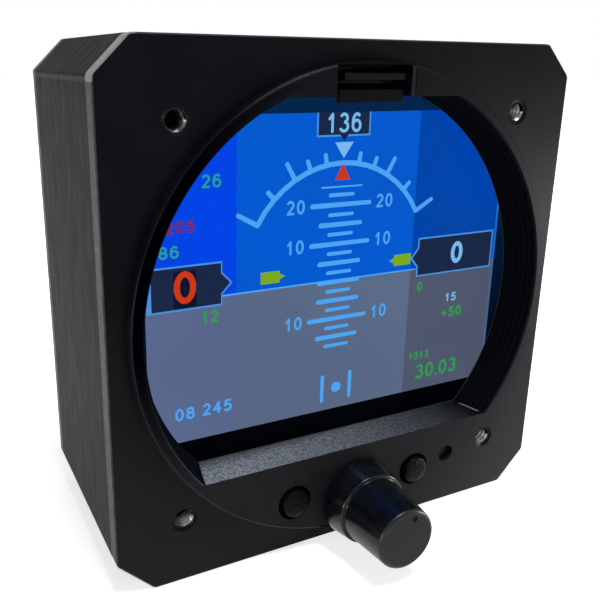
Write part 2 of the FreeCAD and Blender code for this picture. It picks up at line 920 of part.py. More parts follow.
def display_carrier():
    """Moulded plate that presses on the display and carries the main board."""
    plate = prism(octagon(case_wall + 2 * part_gap), carrier_front, carrier_back)
    window = box(-module_half_width + carrier_band, module_half_width - carrier_band,
                 carrier_front, carrier_back, module_bottom + carrier_band, module_top - carrier_band)
    plate = plate.cut(window)
    bosses = []
    for x, z in carrier_bosses:
        bosses.append(rod(x, z, carrier_boss_radius, bezel_back, carrier_front))
    for x, z in board_standoffs:
        bosses.append(rod(x, z, carrier_boss_radius, carrier_back, board_front))
    plate = plate.fuse(bosses)
    clear = post_radius + part_gap
    for x, z in case_posts:
        edge = math.copysign(flange_half, z)
        plate = plate.cut(rod(x, z, clear, carrier_front, carrier_back))
        plate = plate.cut(box(x - clear, x + clear, carrier_front, carrier_back,
                              min(z, edge), max(z, edge)))
    for x, z in carrier_bosses:
        plate = plate.cut(rod(x, z, small_screw_radius + slip_gap, bezel_back, carrier_back))
    for x, z in board_standoffs:
        plate = plate.cut(rod(x, z, small_screw_radius, carrier_front + carrier_floor, board_front))
    reach = card_board_half_width + part_gap
    plate = plate.cut(box(-reach, reach, carrier_front, carrier_back,
                          socket_bottom - part_gap, flange_half))
    inner = socket_half_width + part_gap
    for side in (-1, 1):
        near = min(side * inner, side * (inner + bracket_width))
        plate = plate.fuse(box(near, near + bracket_width, carrier_front,
                               carrier_back + bracket_length, socket_top - bracket_height,
                               socket_top))
    reach = encoder_size / 2 + carrier_relief_side
    plate = plate.cut(box(-reach, reach, carrier_front, carrier_back, -flange_half,
                          module_bottom - carrier_relief_gap))
    return plate.removeSplitter()


def carrier_screws():
    screws = []
    for x, z in carrier_bosses:
        screws.append(pan_screw(x, z, small_screw_radius, small_screw_head_radius,
                                small_screw_head_height, carrier_back,
                                bezel_back - small_screw_bite + slip_gap))
    return Part.makeCompound(screws)


def board_screws():
    screws = []
    for x, z in board_standoffs:
        screws.append(pan_screw(x, z, small_screw_radius, small_screw_head_radius,
                                small_screw_head_height, board_back,
                                board_front - board_screw_reach))
    return Part.makeCompound(screws)


def case_screws():
    """Four long screws from the rear cover through the case into the bezel."""
    screws = []
    for x, z in case_posts:
        screws.append(flat_screw(x, z, case_screw_radius, case_screw_head_radius,
                                 case_screw_head_depth, cover_back,
                                 bezel_back - case_screw_bite + slip_gap))
    return Part.makeCompound(screws)


def main_board():
    """Circuit board with its lower corners cut away for the screw tubes."""
    cut = board_corner_cut
    outline = [
        (-board_half_width, board_bottom + cut),
        (-board_half_width + cut, board_bottom),
        (board_half_width - cut, board_bottom),
        (board_half_width, board_bottom + cut),
        (board_half_width, board_top),
        (-board_half_width, board_top),
    ]
    board = prism(outline, board_front, board_back)
    for x, z in board_standoffs:
        board = board.cut(rod(x, z, small_screw_radius + slip_gap, board_front, board_back))
    return board


def processor_shield():
    """Tinned can over the processor."""
    top = board_back + shield_thickness
    wall = 2 * shield_wall
    can = slab(shield_x, shield_z, shield_width, shield_height, board_back, top)
    return can.cut(slab(shield_x, shield_z, shield_width - wall, shield_height - wall,
                        board_back, top - shield_wall))


def receiver_module():
    """Satellite receiver in its shield can."""
    return slab(antenna_x, fitting_z, receiver_width, receiver_height, board_back,
                board_back + receiver_thickness)


def board_chips():
    """Memory, driver, regulator and clock packages on the rear of the main board."""
    edge_x = board_half_width - chip_edge
    places = [
        (chip_x, chip_upper_z, memory_width, memory_height),
        (chip_x, chip_lower_z, driver_size, driver_size),
        (edge_x, chip_upper_z, regulator_size, regulator_size),
        (edge_x, chip_lower_z, clock_size, clock_size),
    ]
    top = board_back + chip_thickness
    return Part.makeCompound([slab(x, z, w, h, board_back, top) for x, z, w, h in places])


def power_parts():
    """Coil and two electrolytic capacitors of the supply, in a row beside the header."""
    z = board_bottom + supply_rise
    pitch = 2 * capacitor_radius + supply_gap
    near = -header_width / 2 - supply_gap - capacitor_radius
    far = near - pitch
    coil_x = far - capacitor_radius - supply_gap - coil_size / 2
    parts = [slab(coil_x, z, coil_size, coil_size, board_back, board_back + coil_height)]
    for x in (near, far):
        parts.append(rod(x, z, capacitor_radius, board_back, board_back + capacitor_height))
    return Part.makeCompound(parts)


def attitude_board():
    """Small board that carries the motion and field sensors."""
    return slab(attitude_x, attitude_z, attitude_board_width, attitude_board_height,
                attitude_front, attitude_front + attitude_board_thickness)


def attitude_pillars():
    """Four brass pillars under the attitude board."""
    reach_x = attitude_board_width / 2 - pillar_inset
    reach_z = attitude_board_height / 2 - pillar_inset
    pillars = []
    for x in (attitude_x - reach_x, attitude_x + reach_x):
        for z in (attitude_z - reach_z, attitude_z + reach_z):
            pillars.append(rod(x, z, pillar_radius, board_back, attitude_front))
    return Part.makeCompound(pillars)


def attitude_sensors():
    """Motion sensor and field sensor packages."""
    front = attitude_front + attitude_board_thickness
    back = front + package_thickness
    motion = slab(attitude_x - field_offset / 2, attitude_z, motion_size, motion_size, front, back)
    field = slab(attitude_x + field_offset, attitude_z, field_size, field_size, front, back)
    return Part.makeCompound([motion, field])


def display_flex():
    """Flexible printed lead from the back of the display to the main board."""
    y = carrier_front + flex_thickness / 2
    end_y = board_front - flex_connector_thickness - flex_thickness / 2
    points = [V(flex_x, y, flex_low), V(flex_x, y, flex_turn),
              V(flex_x, end_y, flex_turn + flex_slope), V(flex_x, end_y, flex_end)]
    return strap(points, flex_bend, flex_width, flex_thickness, flex_x)


def flex_connector():
    """Low connector on the front of the main board that grips the flexible lead."""
    middle = flex_end - flex_connector_height / 2 + part_gap
    return slab(flex_x, middle, flex_width + 2 * flex_connector_margin, flex_connector_height,
                board_front - flex_connector_thickness, board_front)


def board_header():
    """Stacking connector between the control board and the main board."""
    return slab(0, encoder_z + stack_rise, stack_width, stack_height, control_board_back,
                board_front)


def rear_ribbon():
    """Flat cable from the rear connector to its header on the main board."""
    start = case_back - connector_body_depth - contact_tail - ribbon_thickness / 2
    end = board_back + header_depth
    points = [V(0, start, connector_z + ribbon_top), V(0, start, header_z), V(0, end, header_z)]
    return strap(points, ribbon_bend, ribbon_width, ribbon_thickness, 0)


def ribbon_header():
    """Shrouded header that the flat cable plugs into."""
    return slab(0, header_z, header_width, header_height, board_back, board_back + header_depth)


def control_board():
    """Board for the encoder, the switches and the light sensor."""
    reach = carrier_boss_low_x - carrier_boss_radius - part_gap
    return box(-reach, reach, control_board_front, control_board_back,
               control_board_rise - flange_half, module_bottom - control_board_gap)


def encoder_body():
    """Housing of the encoder with its threaded bushing and a cavity for the rotor."""
    half = encoder_size / 2
    tip = web_back - bushing_length
    body = box(-half, half, web_back, control_board_front, encoder_z - half, encoder_z + half)
    bushing = rod(0, encoder_z, bushing_radius, tip, web_back)
    body = body.fuse(bushing)
    body = body.cut(rod(0, encoder_z, shaft_radius + running_gap, tip, web_back + rotor_front_wall))
    cavity_front = web_back + rotor_front_wall
    cavity_back = cavity_front + rotor_thickness + 2 * part_gap
    body = body.cut(rod(0, encoder_z, rotor_radius + part_gap, cavity_front, cavity_back))
    body = body.cut(rod(0, encoder_z, rotor_radius - dome_ledge, cavity_back,
                        control_board_front - encoder_floor))
    return body.removeSplitter()


def encoder_nut():
    back = bezel_front - washer_thickness
    front = back - nut_thickness
    nut = prism(hexagon(nut_across_flats, 0, encoder_z), front, back)
    return nut.cut(rod(0, encoder_z, bushing_radius, front, back))


def encoder_washer():
    front = bezel_front - washer_thickness
    washer = rod(0, encoder_z, washer_radius, front, bezel_front)
    return washer.cut(rod(0, encoder_z, bushing_radius, front, bezel_front))


def tail_outline(gap, y0, y1):
    """Rod with one flat that turns the rotor, made larger by gap."""
    stem = rod(0, encoder_z, tail_radius + gap, y0, y1)
    flat = encoder_z + tail_radius - tail_flat + gap
    return stem.cut(box(-tail_radius * 2, tail_radius * 2, y0, y1, flat, flat + tail_radius * 2))


def encoder_rotor():
    """Toothed wheel that gives the clicks, with a flat-sided hole for the shaft."""
    y0 = web_back + rotor_front_wall + part_gap
    y1 = y0 + rotor_thickness
    wheel = rod(0, encoder_z, rotor_radius, y0, y1)
    notches = []
    for k in range(detent_count):
        turn = 2 * math.pi * k / detent_count
        notches.append(rod(rotor_radius * math.cos(turn), encoder_z + rotor_radius * math.sin(turn),
                           detent_radius, y0, y1))
    return wheel.cut(notches).cut(tail_outline(running_gap, y0, y1))


def encoder_shaft():
    """Shaft with a flat for the knob in front and a flat-sided tail in the rotor."""
    tip = bezel_front - shaft_reach
    neck = web_back + rotor_front_wall - push_travel - part_gap
    stem = rod(0, encoder_z, shaft_radius, tip, neck)
    flat = encoder_z + shaft_radius - shaft_flat
    flat_end = web_back - bushing_length - shaft_flat_gap
    stem = stem.cut(box(-shaft_radius, shaft_radius, tip, flat_end, flat, flat + shaft_radius))
    tail_end = control_board_front - encoder_floor - dome_thickness - push_travel - part_gap
    return stem.fuse(tail_outline(0, neck, tail_end)).removeSplitter()


def push_dome():
    """Snap disc behind the shaft that gives the push click."""
    back = control_board_front - encoder_floor
    return rod(0, encoder_z, rotor_radius - dome_ledge - slip_gap, back - dome_thickness, back)


def knob_body():
    """Moulded knob: a flared skirt, a slimmer grip and a hole for the shaft."""
    rim = knob_base - skirt_length
    profile = [
        (0, knob_base),
        (skirt_base_radius, knob_base),
        (skirt_base_radius - skirt_lean, knob_base - skirt_foot),
        (skirt_rim_radius, rim),
        (body_base_radius, rim),
        (body_end_radius, knob_front),
        (0, knob_front),
    ]
    body = turned(profile, 0, encoder_z)
    body = body.makeFillet(skirt_round, circles_at(body, rim, skirt_rim_radius))
    body = body.makeFillet(body_base_round, circles_at(body, rim, body_base_radius))
    body = body.makeFillet(body_end_round, circles_at(body, knob_front, body_end_radius))
    room = push_travel + part_gap
    nut_room = bezel_front - washer_thickness - nut_thickness - room
    body = body.cut(rod(0, encoder_z, skirt_rim_radius - knob_wall, nut_room, knob_base))
    body = body.cut(rod(0, encoder_z, bushing_radius + part_gap,
                        web_back - bushing_length - room, knob_base))
    body = body.cut(encoder_shaft())
    body = body.cut(rod(0, encoder_z, cap_radius, knob_front, knob_front + cap_thickness))
    return body.removeSplitter()


def knob_cap():
    """Satin disc set in the end of the knob, with a small index dimple."""
    cap = rod(0, encoder_z, cap_radius, knob_front, knob_front + cap_thickness)
    reach = cap_radius - cap_dimple_inset
    turn = math.radians(cap_dimple_turn)
    place = V(reach * math.sin(turn), knob_front, encoder_z + reach * math.cos(turn))
    dimple = Part.makeSphere(cap_dimple_radius, place)
    return cap.cut(dimple)


def button_cap(x):
    """Domed cap with a flange behind the web that keeps it in."""
    top = bezel_front - button_stand
    flange_front = web_back + part_gap
    flange_back = flange_front + button_flange_thickness
    profile = [
        (0, top - button_dome),
        (button_radius * 0.35, top - button_dome * 0.93),
        (button_radius * 0.65, top - button_dome * 0.7),
        (button_radius * 0.88, top - button_dome * 0.3),
        (button_radius, top + button_edge),
        (button_radius, flange_front),
        (button_flange_radius, flange_front),
        (button_flange_radius, flange_back),
        (plunger_radius, flange_back),
        (plunger_radius, plunger_front),
        (0, plunger_front),
    ]
    return turned(profile, x, button_z)


def switch_plunger(x):
    """Plunger of one switch, which moves with its cap."""
    return rod(x, button_z, plunger_radius, plunger_front, switch_front + plunger_bite)


def switch_body(x):
    """Square switch housing with a well for the plunger."""
    body = slab(x, button_z, switch_size, switch_size, switch_front, control_board_front)
    well = rod(x, button_z, plunger_radius + part_gap, switch_front,
               switch_front + plunger_bite + button_travel + part_gap)
    return body.cut(well)


def sensor_guide():
    """Smoked light guide behind the small hole in the web."""
    front = bezel_front + sensor_guide_recess
    chip_front = control_board_front - sensor_chip_height - part_gap
    tip = rod(sensor_x, sensor_z, sensor_hole_radius - running_gap, front, web_back)
    foot = rod(sensor_x, sensor_z, sensor_guide_radius, web_back, chip_front)
    return tip.fuse(foot)


def light_sensor():
    """Sensor package under the light guide."""
    return slab(sensor_x, sensor_z, sensor_chip_size, sensor_chip_size,
                control_board_front - sensor_chip_height, control_board_front)


def card_lip():
    """Guide bar under the mouth of the card slot."""
    back = bezel_front + notch_depth
    return box(-guide_half_width, guide_half_width, back - guide_thickness, back,
               guide_bottom, guide_bottom + guide_height)


def socket_shell():
    """Folded steel shell around the card."""
    shell = box(-socket_half_width, socket_half_width, socket_front, socket_back,
                socket_bottom, socket_top - socket_plate)
    half = card_width / 2 + part_gap
    low = card_z - card_thickness / 2 - part_gap
    return shell.cut(box(-half, half, socket_front, socket_well, low, socket_top - socket_plate))


def socket_base():
    """Moulded base of the card socket, soldered under its small board."""
    return box(-socket_half_width, socket_half_width, socket_front, socket_back,
               socket_top - socket_plate, socket_top)


def card_board():
    """Small board above the card socket."""
    y0 = bezel_back + slip_gap
    return box(-card_board_half_width, card_board_half_width, y0, y0 + card_board_length,
               socket_top, socket_top + card_board_thickness)


def memory_card():
    """Memory card with a thicker grip along its outer end and one corner cut away."""
    grip = slab(0, card_z, card_width, card_lip_thickness, card_front,
                card_front + card_lip_length)
    back = card_front + card_length
    card = slab(0, card_z, card_width, card_thickness, card_front, back)
    corner = slab(card_width / 2, card_z, 2 * card_corner_width, 2 * card_lip_thickness,
                  back - card_corner_length, back)
    return card.fuse(grip).cut(corner).removeSplitter()


def build_nodes():
    """Every named piece of the instrument."""
    return {
        "front_bezel": front_bezel(),
        "case_body": case_body(),
        "rear_cover": rear_cover(),
        "case_screws": case_screws(),
        "glass_gasket": glass_gasket(),
        "display_glass": display_glass(),
        "lcd_cell": lcd_cell(),
        "backlight_frame": backlight_frame(),
        "light_guide": light_guide(),
        "display_flex": display_flex(),
        "flex_connector": flex_connector(),
        "display_carrier": display_carrier(),
        "carrier_screws": carrier_screws(),
        "main_board": main_board(),
        "board_screws": board_screws(),
        "processor_shield": processor_shield(),
        "board_chips": board_chips(),
        "power_parts": power_parts(),
        "receiver_module": receiver_module(),
        "attitude_board": attitude_board(),
        "attitude_pillars": attitude_pillars(),
        "attitude_sensors": attitude_sensors(),
        "board_header": board_header(),
        "control_board": control_board(),
        "switch_body_left": switch_body(-button_x),
        "switch_body_right": switch_body(button_x),
        "switch_plunger_left": switch_plunger(-button_x),
        "switch_plunger_right": switch_plunger(button_x),
        "button_left": button_cap(-button_x),
        "button_right": button_cap(button_x),
        "light_sensor": light_sensor(),
        "sensor_guide": sensor_guide(),
        "encoder_body": encoder_body(),
        "encoder_washer": encoder_washer(),
        "encoder_nut": encoder_nut(),
        "encoder_rotor": encoder_rotor(),
        "encoder_shaft": encoder_shaft(),
        "push_dome": push_dome(),
        "knob_body": knob_body(),
        "knob_cap": knob_cap(),
        "card_lip": card_lip(),
        "socket_shell": socket_shell(),
        "socket_base": socket_base(),
        "card_board": card_board(),
        "memory_card": memory_card(),
        "connector_shell": connector_shell(),
        "connector_insulator": connector_insulator(),
        "connector_contacts": connector_contacts(),
        "jack_screws": jack_screws(),
        "rear_ribbon": rear_ribbon(),
        "ribbon_header": ribbon_header(),
        "pitot_fitting": hose_fitting(pitot_x),
        "static_fitting": hose_fitting(static_x),
        "fitting_nuts": fitting_nuts(),
        "pressure_sensor_pitot": pressure_sensor(pitot_x),
        "pressure_sensor_static": pressure_sensor(static_x),
        "pressure_tubes": Part.makeCompound([pressure_tube(pitot_x), pressure_tube(static_x)]),
        "antenna_connector": antenna_connector(),
        "antenna_insulator": antenna_insulator(),
        "antenna_cable": Part.makeCompound([antenna_cable(), cable_plug()]),
    }


os.makedirs("parts", exist_ok=True)
for name, shape in build_nodes().items():
    shape.exportStep("parts/" + name + ".step")
    print(name, len(shape.Solids), round(shape.Volume, 2), shape.isValid())
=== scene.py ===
import math

import bmesh
import bpy
from mathutils import Matrix, Vector


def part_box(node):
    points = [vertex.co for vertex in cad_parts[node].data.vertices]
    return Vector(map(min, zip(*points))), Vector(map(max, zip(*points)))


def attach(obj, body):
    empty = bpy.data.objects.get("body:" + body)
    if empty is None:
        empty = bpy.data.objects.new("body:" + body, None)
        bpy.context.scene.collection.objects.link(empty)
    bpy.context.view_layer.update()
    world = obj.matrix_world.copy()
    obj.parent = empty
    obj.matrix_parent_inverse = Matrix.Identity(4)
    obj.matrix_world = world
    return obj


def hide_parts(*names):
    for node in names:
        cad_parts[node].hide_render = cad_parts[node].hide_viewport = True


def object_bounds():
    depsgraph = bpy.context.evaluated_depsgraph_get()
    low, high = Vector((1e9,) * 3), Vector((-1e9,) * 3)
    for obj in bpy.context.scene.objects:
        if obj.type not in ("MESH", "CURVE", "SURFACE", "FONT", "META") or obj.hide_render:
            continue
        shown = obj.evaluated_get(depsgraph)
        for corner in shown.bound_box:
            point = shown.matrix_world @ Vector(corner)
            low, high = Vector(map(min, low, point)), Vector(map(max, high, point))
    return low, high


# Electronic flight instrument: finishes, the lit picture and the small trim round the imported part.
# Sizes are written in millimetres and turned to metres with MM.
MM = 0.001

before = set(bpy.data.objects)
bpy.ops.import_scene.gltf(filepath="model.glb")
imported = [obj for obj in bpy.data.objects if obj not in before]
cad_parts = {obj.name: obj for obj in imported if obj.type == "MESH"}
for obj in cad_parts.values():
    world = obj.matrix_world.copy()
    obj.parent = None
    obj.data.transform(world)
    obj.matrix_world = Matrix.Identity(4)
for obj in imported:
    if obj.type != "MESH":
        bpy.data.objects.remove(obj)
cad_box = [list(corner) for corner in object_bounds()]

# Camera, as fitted to the corners and holes of the photograph
CAMERA_PLACE = Vector((-66.67, -96.09, 39.06)) * MM
CAMERA_HEADING = math.radians(-26.987)
CAMERA_TILT = math.radians(73.579)
CAMERA_ROLL = math.radians(0.679)
CAMERA_LENS = 43.8
CAMERA_SHIFT_X = 0.0606
CAMERA_SHIFT_Y = -0.0359

# Sizes read from the frame
GLASS_LOW, GLASS_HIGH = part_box("display_glass")
CELL_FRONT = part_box("lcd_cell")[0].y
FLOOR_Z = cad_box[0][2]

# Plate, with its panel holes, register, recess, ledge and card notch
HOLE_PLACE = 31.435
HOLE_RADIUS = 1.65
THREAD_PITCH = 0.79
THREAD_TURNS = 4
THREAD_START = 0.75
RIDGE_INSET = 0.12
RIDGE_RADIUS = 0.2
RIDGE_WIDENING = 1.9
CORNER_REACH = 79.3
REGISTER_FACE = -2.4
RECESS_MOUTH = 37.95
RECESS_SLOPE = 1.15 / 6.9
CONE_MOUTH = 37.4
RECESS_FLOOR = -24.6
LEDGE_UNDERSIDE = -26.0
NOTCH_HALF = 7.2
NOTCH_FLOOR = 1.7
# How far past a face its patch of finish reaches
SKIN = 0.05
# Guide bar and its foot: half width, front, back, underside and top
BAR_BLOCKS = ((5.8, -1.0, 0.0, 33.5, 35.45), (5.0, 0.0, NOTCH_FLOOR, 34.45, 35.45))
BAR_EDGE = 0.08

# Knob and buttons; a profile is pairs of radius and height, back to front
KNOB_Z = -34.2
KNOB_BASE = -3.3
KNOB_LENGTH = 13.8
KNOB_END_ROUND = 0.55
KNOB_HOLLOW = ((3.7, 4.1), (3.7, 2.2), (6.1, 2.2), (6.1, 0))
KNOB_SKIRT = ((7.2, 0), (7.05, 0.9), (6.45, 4.4))
GRIP_RADII = (5.95, 5.25)
SKIRT_ROUND = 0.25
GRIP_ROUND = 0.12
DISC_RADIUS = 4.6
DISC_SEAT = 0.9
DISC_GAP = 0.02
DIMPLE_RADIUS = 0.5
DIMPLE_INSET = 0.8
DIMPLE_TURN = math.radians(20)
BUTTON_X = 12.5
BUTTON_Z = -32.3
BUTTON_BACK = 2.1
BUTTON_ROUND = 0.15
BUTTON_PROFILE = ((2.2, 0), (2.2, 0.4), (3.7, 0.4), (3.7, 1.2), (2.45, 1.2), (2.45, 5.15),
                  (2.2, 5.35), (1.5, 5.5), (0.8, 5.55))

# Display: 320 by 240 dots
ACTIVE_WIDTH = 70.08
ACTIVE_HEIGHT = 52.56
ACTIVE_CENTRE = 5.37
DOT_PITCH = 0.219
HORIZON = 3.4
LEFT_BAND = -19.8
RIGHT_BAND = 14.9
RIGHT_STRIP = 34.3

# The picture is a stack of films inside the back of the bonded glass
FILM = 0.004
PICTURE_BACK = CELL_FRONT / MM - 0.01
PRINT_MARGIN = 0.2 * MM


def linear(colour):
    """Turns an sRGB hex colour into linear values."""
    parts = [int(colour[k:k + 2], 16) / 255 for k in (1, 3, 5)]
    return (*(c / 12.92 if c <= 0.04045 else ((c + 0.055) / 1.055) ** 2.4 for c in parts), 1.0)


def add(tree, kind, sockets, output=0, **settings):
    """Adds a node, sets its properties and fills its inputs with values, hex colours or links.

    Gives back one of its outputs, for the next node to use.
    """
    node = tree.nodes.new("ShaderNode" + kind)
    for name, value in settings.items():
        setattr(node, name, value)
    for socket, value in sockets.items():
        if isinstance(value, bpy.types.NodeSocket):
            tree.links.new(value, node.inputs[socket])
        else:
            node.inputs[socket].default_value = linear(value) if isinstance(value, str) else value
    return node.outputs[output] if node.outputs else None


def new_material(name):
    """Empty node material and its tree."""
    material = bpy.data.materials.new(name)
    material.use_nodes = True
    material.node_tree.nodes.clear()
    return material, material.node_tree


def axes_of(tree):
    """Position on the object along X, Y and Z, in metres, in the frame of the CAD."""
    place = add(tree, "TexCoord", {}, "Object")
    return add(tree, "SeparateXYZ", {0: place}).node.outputs


def grain(tree, size, detail=2.0, spread=None, start=0.35, end=0.65, stretch=(1, 1, 1)):
    """Noise with spots about size millimetres across, brought to a spread if one is given."""
    place = add(tree, "TexCoord", {}, "Object")
    mapped = add(tree, "Mapping", {"Vector": place, "Scale": stretch})
    noise = add(tree, "TexNoise", {"Vector": mapped, "Scale": 1 / (size * MM), "Detail": detail})
    if spread:
        noise = add(tree, "MapRange", {"Value": noise, "From Min": start, "From Max": end,
                                       "To Min": spread[0], "To Max": spread[1]})
    return noise


def region(tree, limits=(), fades=()):
    """Mask of a region, with all its places in millimetres.

    Every value in limits lies between its two ends; every value in fades brings the mask in from
    none at its first place to full, or to the level given, at its second.
    """
    mask = 1.0
    for value, low, high in limits:
        for edge, operation in ((low, "GREATER_THAN"), (high, "LESS_THAN")):
            side = add(tree, "Math", {0: value, 1: edge * MM}, operation=operation)
            mask = add(tree, "Math", {0: mask, 1: side}, operation="MULTIPLY")
    for value, none, full, *level in fades:
        side = add(tree, "MapRange", {"Value": value, "From Min": none * MM, "From Max": full * MM,
                                      "To Max": level[0] if level else 1.0})
        mask = add(tree, "Math", {0: mask, 1: side}, operation="MULTIPLY")
    return mask


def painted(tree, colour, *patches):
    """Colour with other tones laid over it, each through its mask."""
    for mask, tone in patches:
        colour = add(tree, "Mix", {0: mask, 6: colour, 7: tone}, 2, data_type="RGBA")
    return colour


def mottled(tree, size, detail, first, second):
    """Colour that drifts between two in spots about size millimetres across."""
    return painted(tree, first, (grain(tree, size, detail, (0, 1)), second))


def largest(tree, first, *others):
    """The larger of several masks."""
    for mask in others:
        first = add(tree, "Math", {0: first, 1: mask}, operation="MAXIMUM")
    return first


def spans(tree, across, height):
    """How far out a place is to the side and up or down, and both together."""
    sides = [add(tree, "Math", {0: axis}, operation="ABSOLUTE") for axis in (across, height)]
    return (*sides, add(tree, "Math", {0: sides[0], 1: sides[1]}))


def reach_of(tree, across, height):
    """Distance from the middle, seen from the front."""
    flat = add(tree, "CombineXYZ", {0: across, 1: height})
    return add(tree, "VectorMath", {0: flat}, "Value", operation="LENGTH")


def black_anodised_aluminium():
    """Bead-blasted aluminium, anodised black: satin, very fine grain, bare metal in the holes."""
    material, tree = new_material("black_anodised_aluminium")
    across, depth, height = axes_of(tree)
    radius = reach_of(tree, across, height)
    side, rise, both = spans(tree, across, height)
    to_corner = add(tree, "Math", {0: across, 1: height}, operation="SUBTRACT")
    slope = add(tree, "Math", {0: depth, 1: RECESS_SLOPE}, operation="MULTIPLY")
    cone = add(tree, "Math", {0: radius, 1: slope})
    hole = reach_of(tree, *(add(tree, "Math", {0: span, 1: HOLE_PLACE * MM}, operation="SUBTRACT")
                            for span in (side, rise)))

    on_ledge = (height, LEDGE_UNDERSIDE, RECESS_FLOOR + SKIN)
    on_rim = [(radius, 40.0, 90.0), (depth, 0.06, 3.3)]
    # The ridged wall of the recess is painted deepest black and dull, as painted shade, so that its
    # ridges don't show lit and it doesn't mirror the display
    recess_wall_shade = region(tree, [(radius, 0.0, RECESS_MOUTH), (depth, REGISTER_FACE + SKIN, 5.0)])
    # The upper left of the register's face is painted deepest black too, as painted shade on the side
    # away from the light
    left = region(tree, [(radius, RECESS_MOUTH, 39.5), (depth, -2.5, -2.0)],
                  [(across, -9, -30), (height, -26, -2)])
    # The edge of the narrow rim over the card notch is painted dark and dull, as painted shade that
    # takes away its highlight
    notch_rim_shade = region(tree, [(across, -NOTCH_HALF, NOTCH_HALF), (radius, 39.2, 39.9),
                               (depth, -2.5, 0.0)])
    # The ledge under the display keeps its blasted sparkle; its light grey is painted light from
    # above, and it is painted darker towards the glass and the right end, as painted shade
    sparkle_and_light = painted(tree, "#4A4F56", (grain(tree, 0.35, 2.0, (0, 1), 0.35, 0.68), "#80868F"))
    ledge_shade = largest(tree, region(tree, fades=[(depth, 1, 5, 0.75)]),
                     region(tree, fades=[(across, -24, 27)]))
    ledge_light_and_shade = painted(tree, sparkle_and_light, (ledge_shade, "#0C0E11"))

    colour = painted(
        tree, mottled(tree, 9.0, 3.0, "#030407", "#07080C"),
        # It is painted lighter towards the foot and the lower right corner, as painted light
        (region(tree, fades=[(height, 10, -44)]), "#1A1A1D"),
        (region(tree, fades=[(to_corner, 48, 84)]), "#2B2B2D"),
        # Painted shade on the ridged wall of the recess
        (recess_wall_shade, "#080A0F"),
        # The ledge, with its painted light and shade
        (region(tree, [on_ledge, (depth, REGISTER_FACE + SKIN, 4.6), (cone, 0.0, CONE_MOUTH)]),
         ledge_light_and_shade),
        # A painted highlight runs along the foot of the right wall, where the ledge meets it
        (region(tree, [on_ledge, (cone, CONE_MOUTH - 0.3, CONE_MOUTH), (across, 20.0, 29.5),
                       (depth, -1.2, 3.0)]), "#63666C"),
        # Painted shade on the upper left of the register's face
        (left, "#010104"),
        # The register's outer side is painted lighter round the foot, as painted light on a side that
        # faces down into shade
        (region(tree, [(radius, 39.25, 40.0), (depth, -2.45, 0.05)], [(height, -8, -30)]), "#1E1E20"),
        # Painted shade on the rim's edge over the card notch
        (notch_rim_shade, "#0E0E10"),
        # The notch's right wall has a painted highlight near its front edge, and the bar in it is
        # painted greyer, as painted light
        (region(tree, [(across, NOTCH_HALF - 0.1, NOTCH_HALF + 0.1), (depth, -2.2, -1.3),
                       (height, 33.0, 39.3)]), "#303136"),
        (region(tree, [(across, -6.0, 6.0), (height, 33.4, 35.6), (depth, -1.1, 2.0)]), "#141416"),
        # The milled rim of the flange is lighter, and its cut corners are lighter still, a painted
        # reflection of the white surroundings above
        (region(tree, on_rim), mottled(tree, 2.5, 3.0, "#272828", "#353636")),
        (region(tree, [*on_rim, (both, CORNER_REACH, 90.0)]), "#6A6B6C"),
        # The countersinks are dark down to the thread
        (region(tree, [(hole, HOLE_RADIUS + 0.03, 2.6), (depth, 0.01, 1.5)]), "#070708"))
    # The blasted grain is near 0.1 mm and is drawn at 0.3 mm so that it shows
    normal = add(tree, "Bump", {"Height": grain(tree, 0.3, 3.0), "Distance": 0.02 * MM})
    # The places painted as shade lose their sheen as well
    level = add(tree, "MapRange", {"Value": largest(tree, recess_wall_shade, notch_rim_shade, left),
                                   "To Min": 0.04, "To Max": 0.0})
    coat = add(tree, "BsdfPrincipled", {"Base Color": colour, "Normal": normal,
                                        "Roughness": grain(tree, 0.3, 3.0, (0.36, 0.5)),
                                        "Specular IOR Level": level})
    # The four holes were tapped after the anodising, so their walls are bare
    bare = add(tree, "BsdfPrincipled", {"Base Color": "#3A3B40", "Metallic": 1.0, "Normal": normal,
                                        "Roughness": grain(tree, 0.3, 3.0, (0.25, 0.4))})
    tapped = region(tree, [(hole, -1.0, HOLE_RADIUS + 0.03), (depth, 0.01, 4.3)])
    add(tree, "OutputMaterial", {"Surface": add(tree, "MixShader", {0: tapped, 1: coat, 2: bare})})
    return material


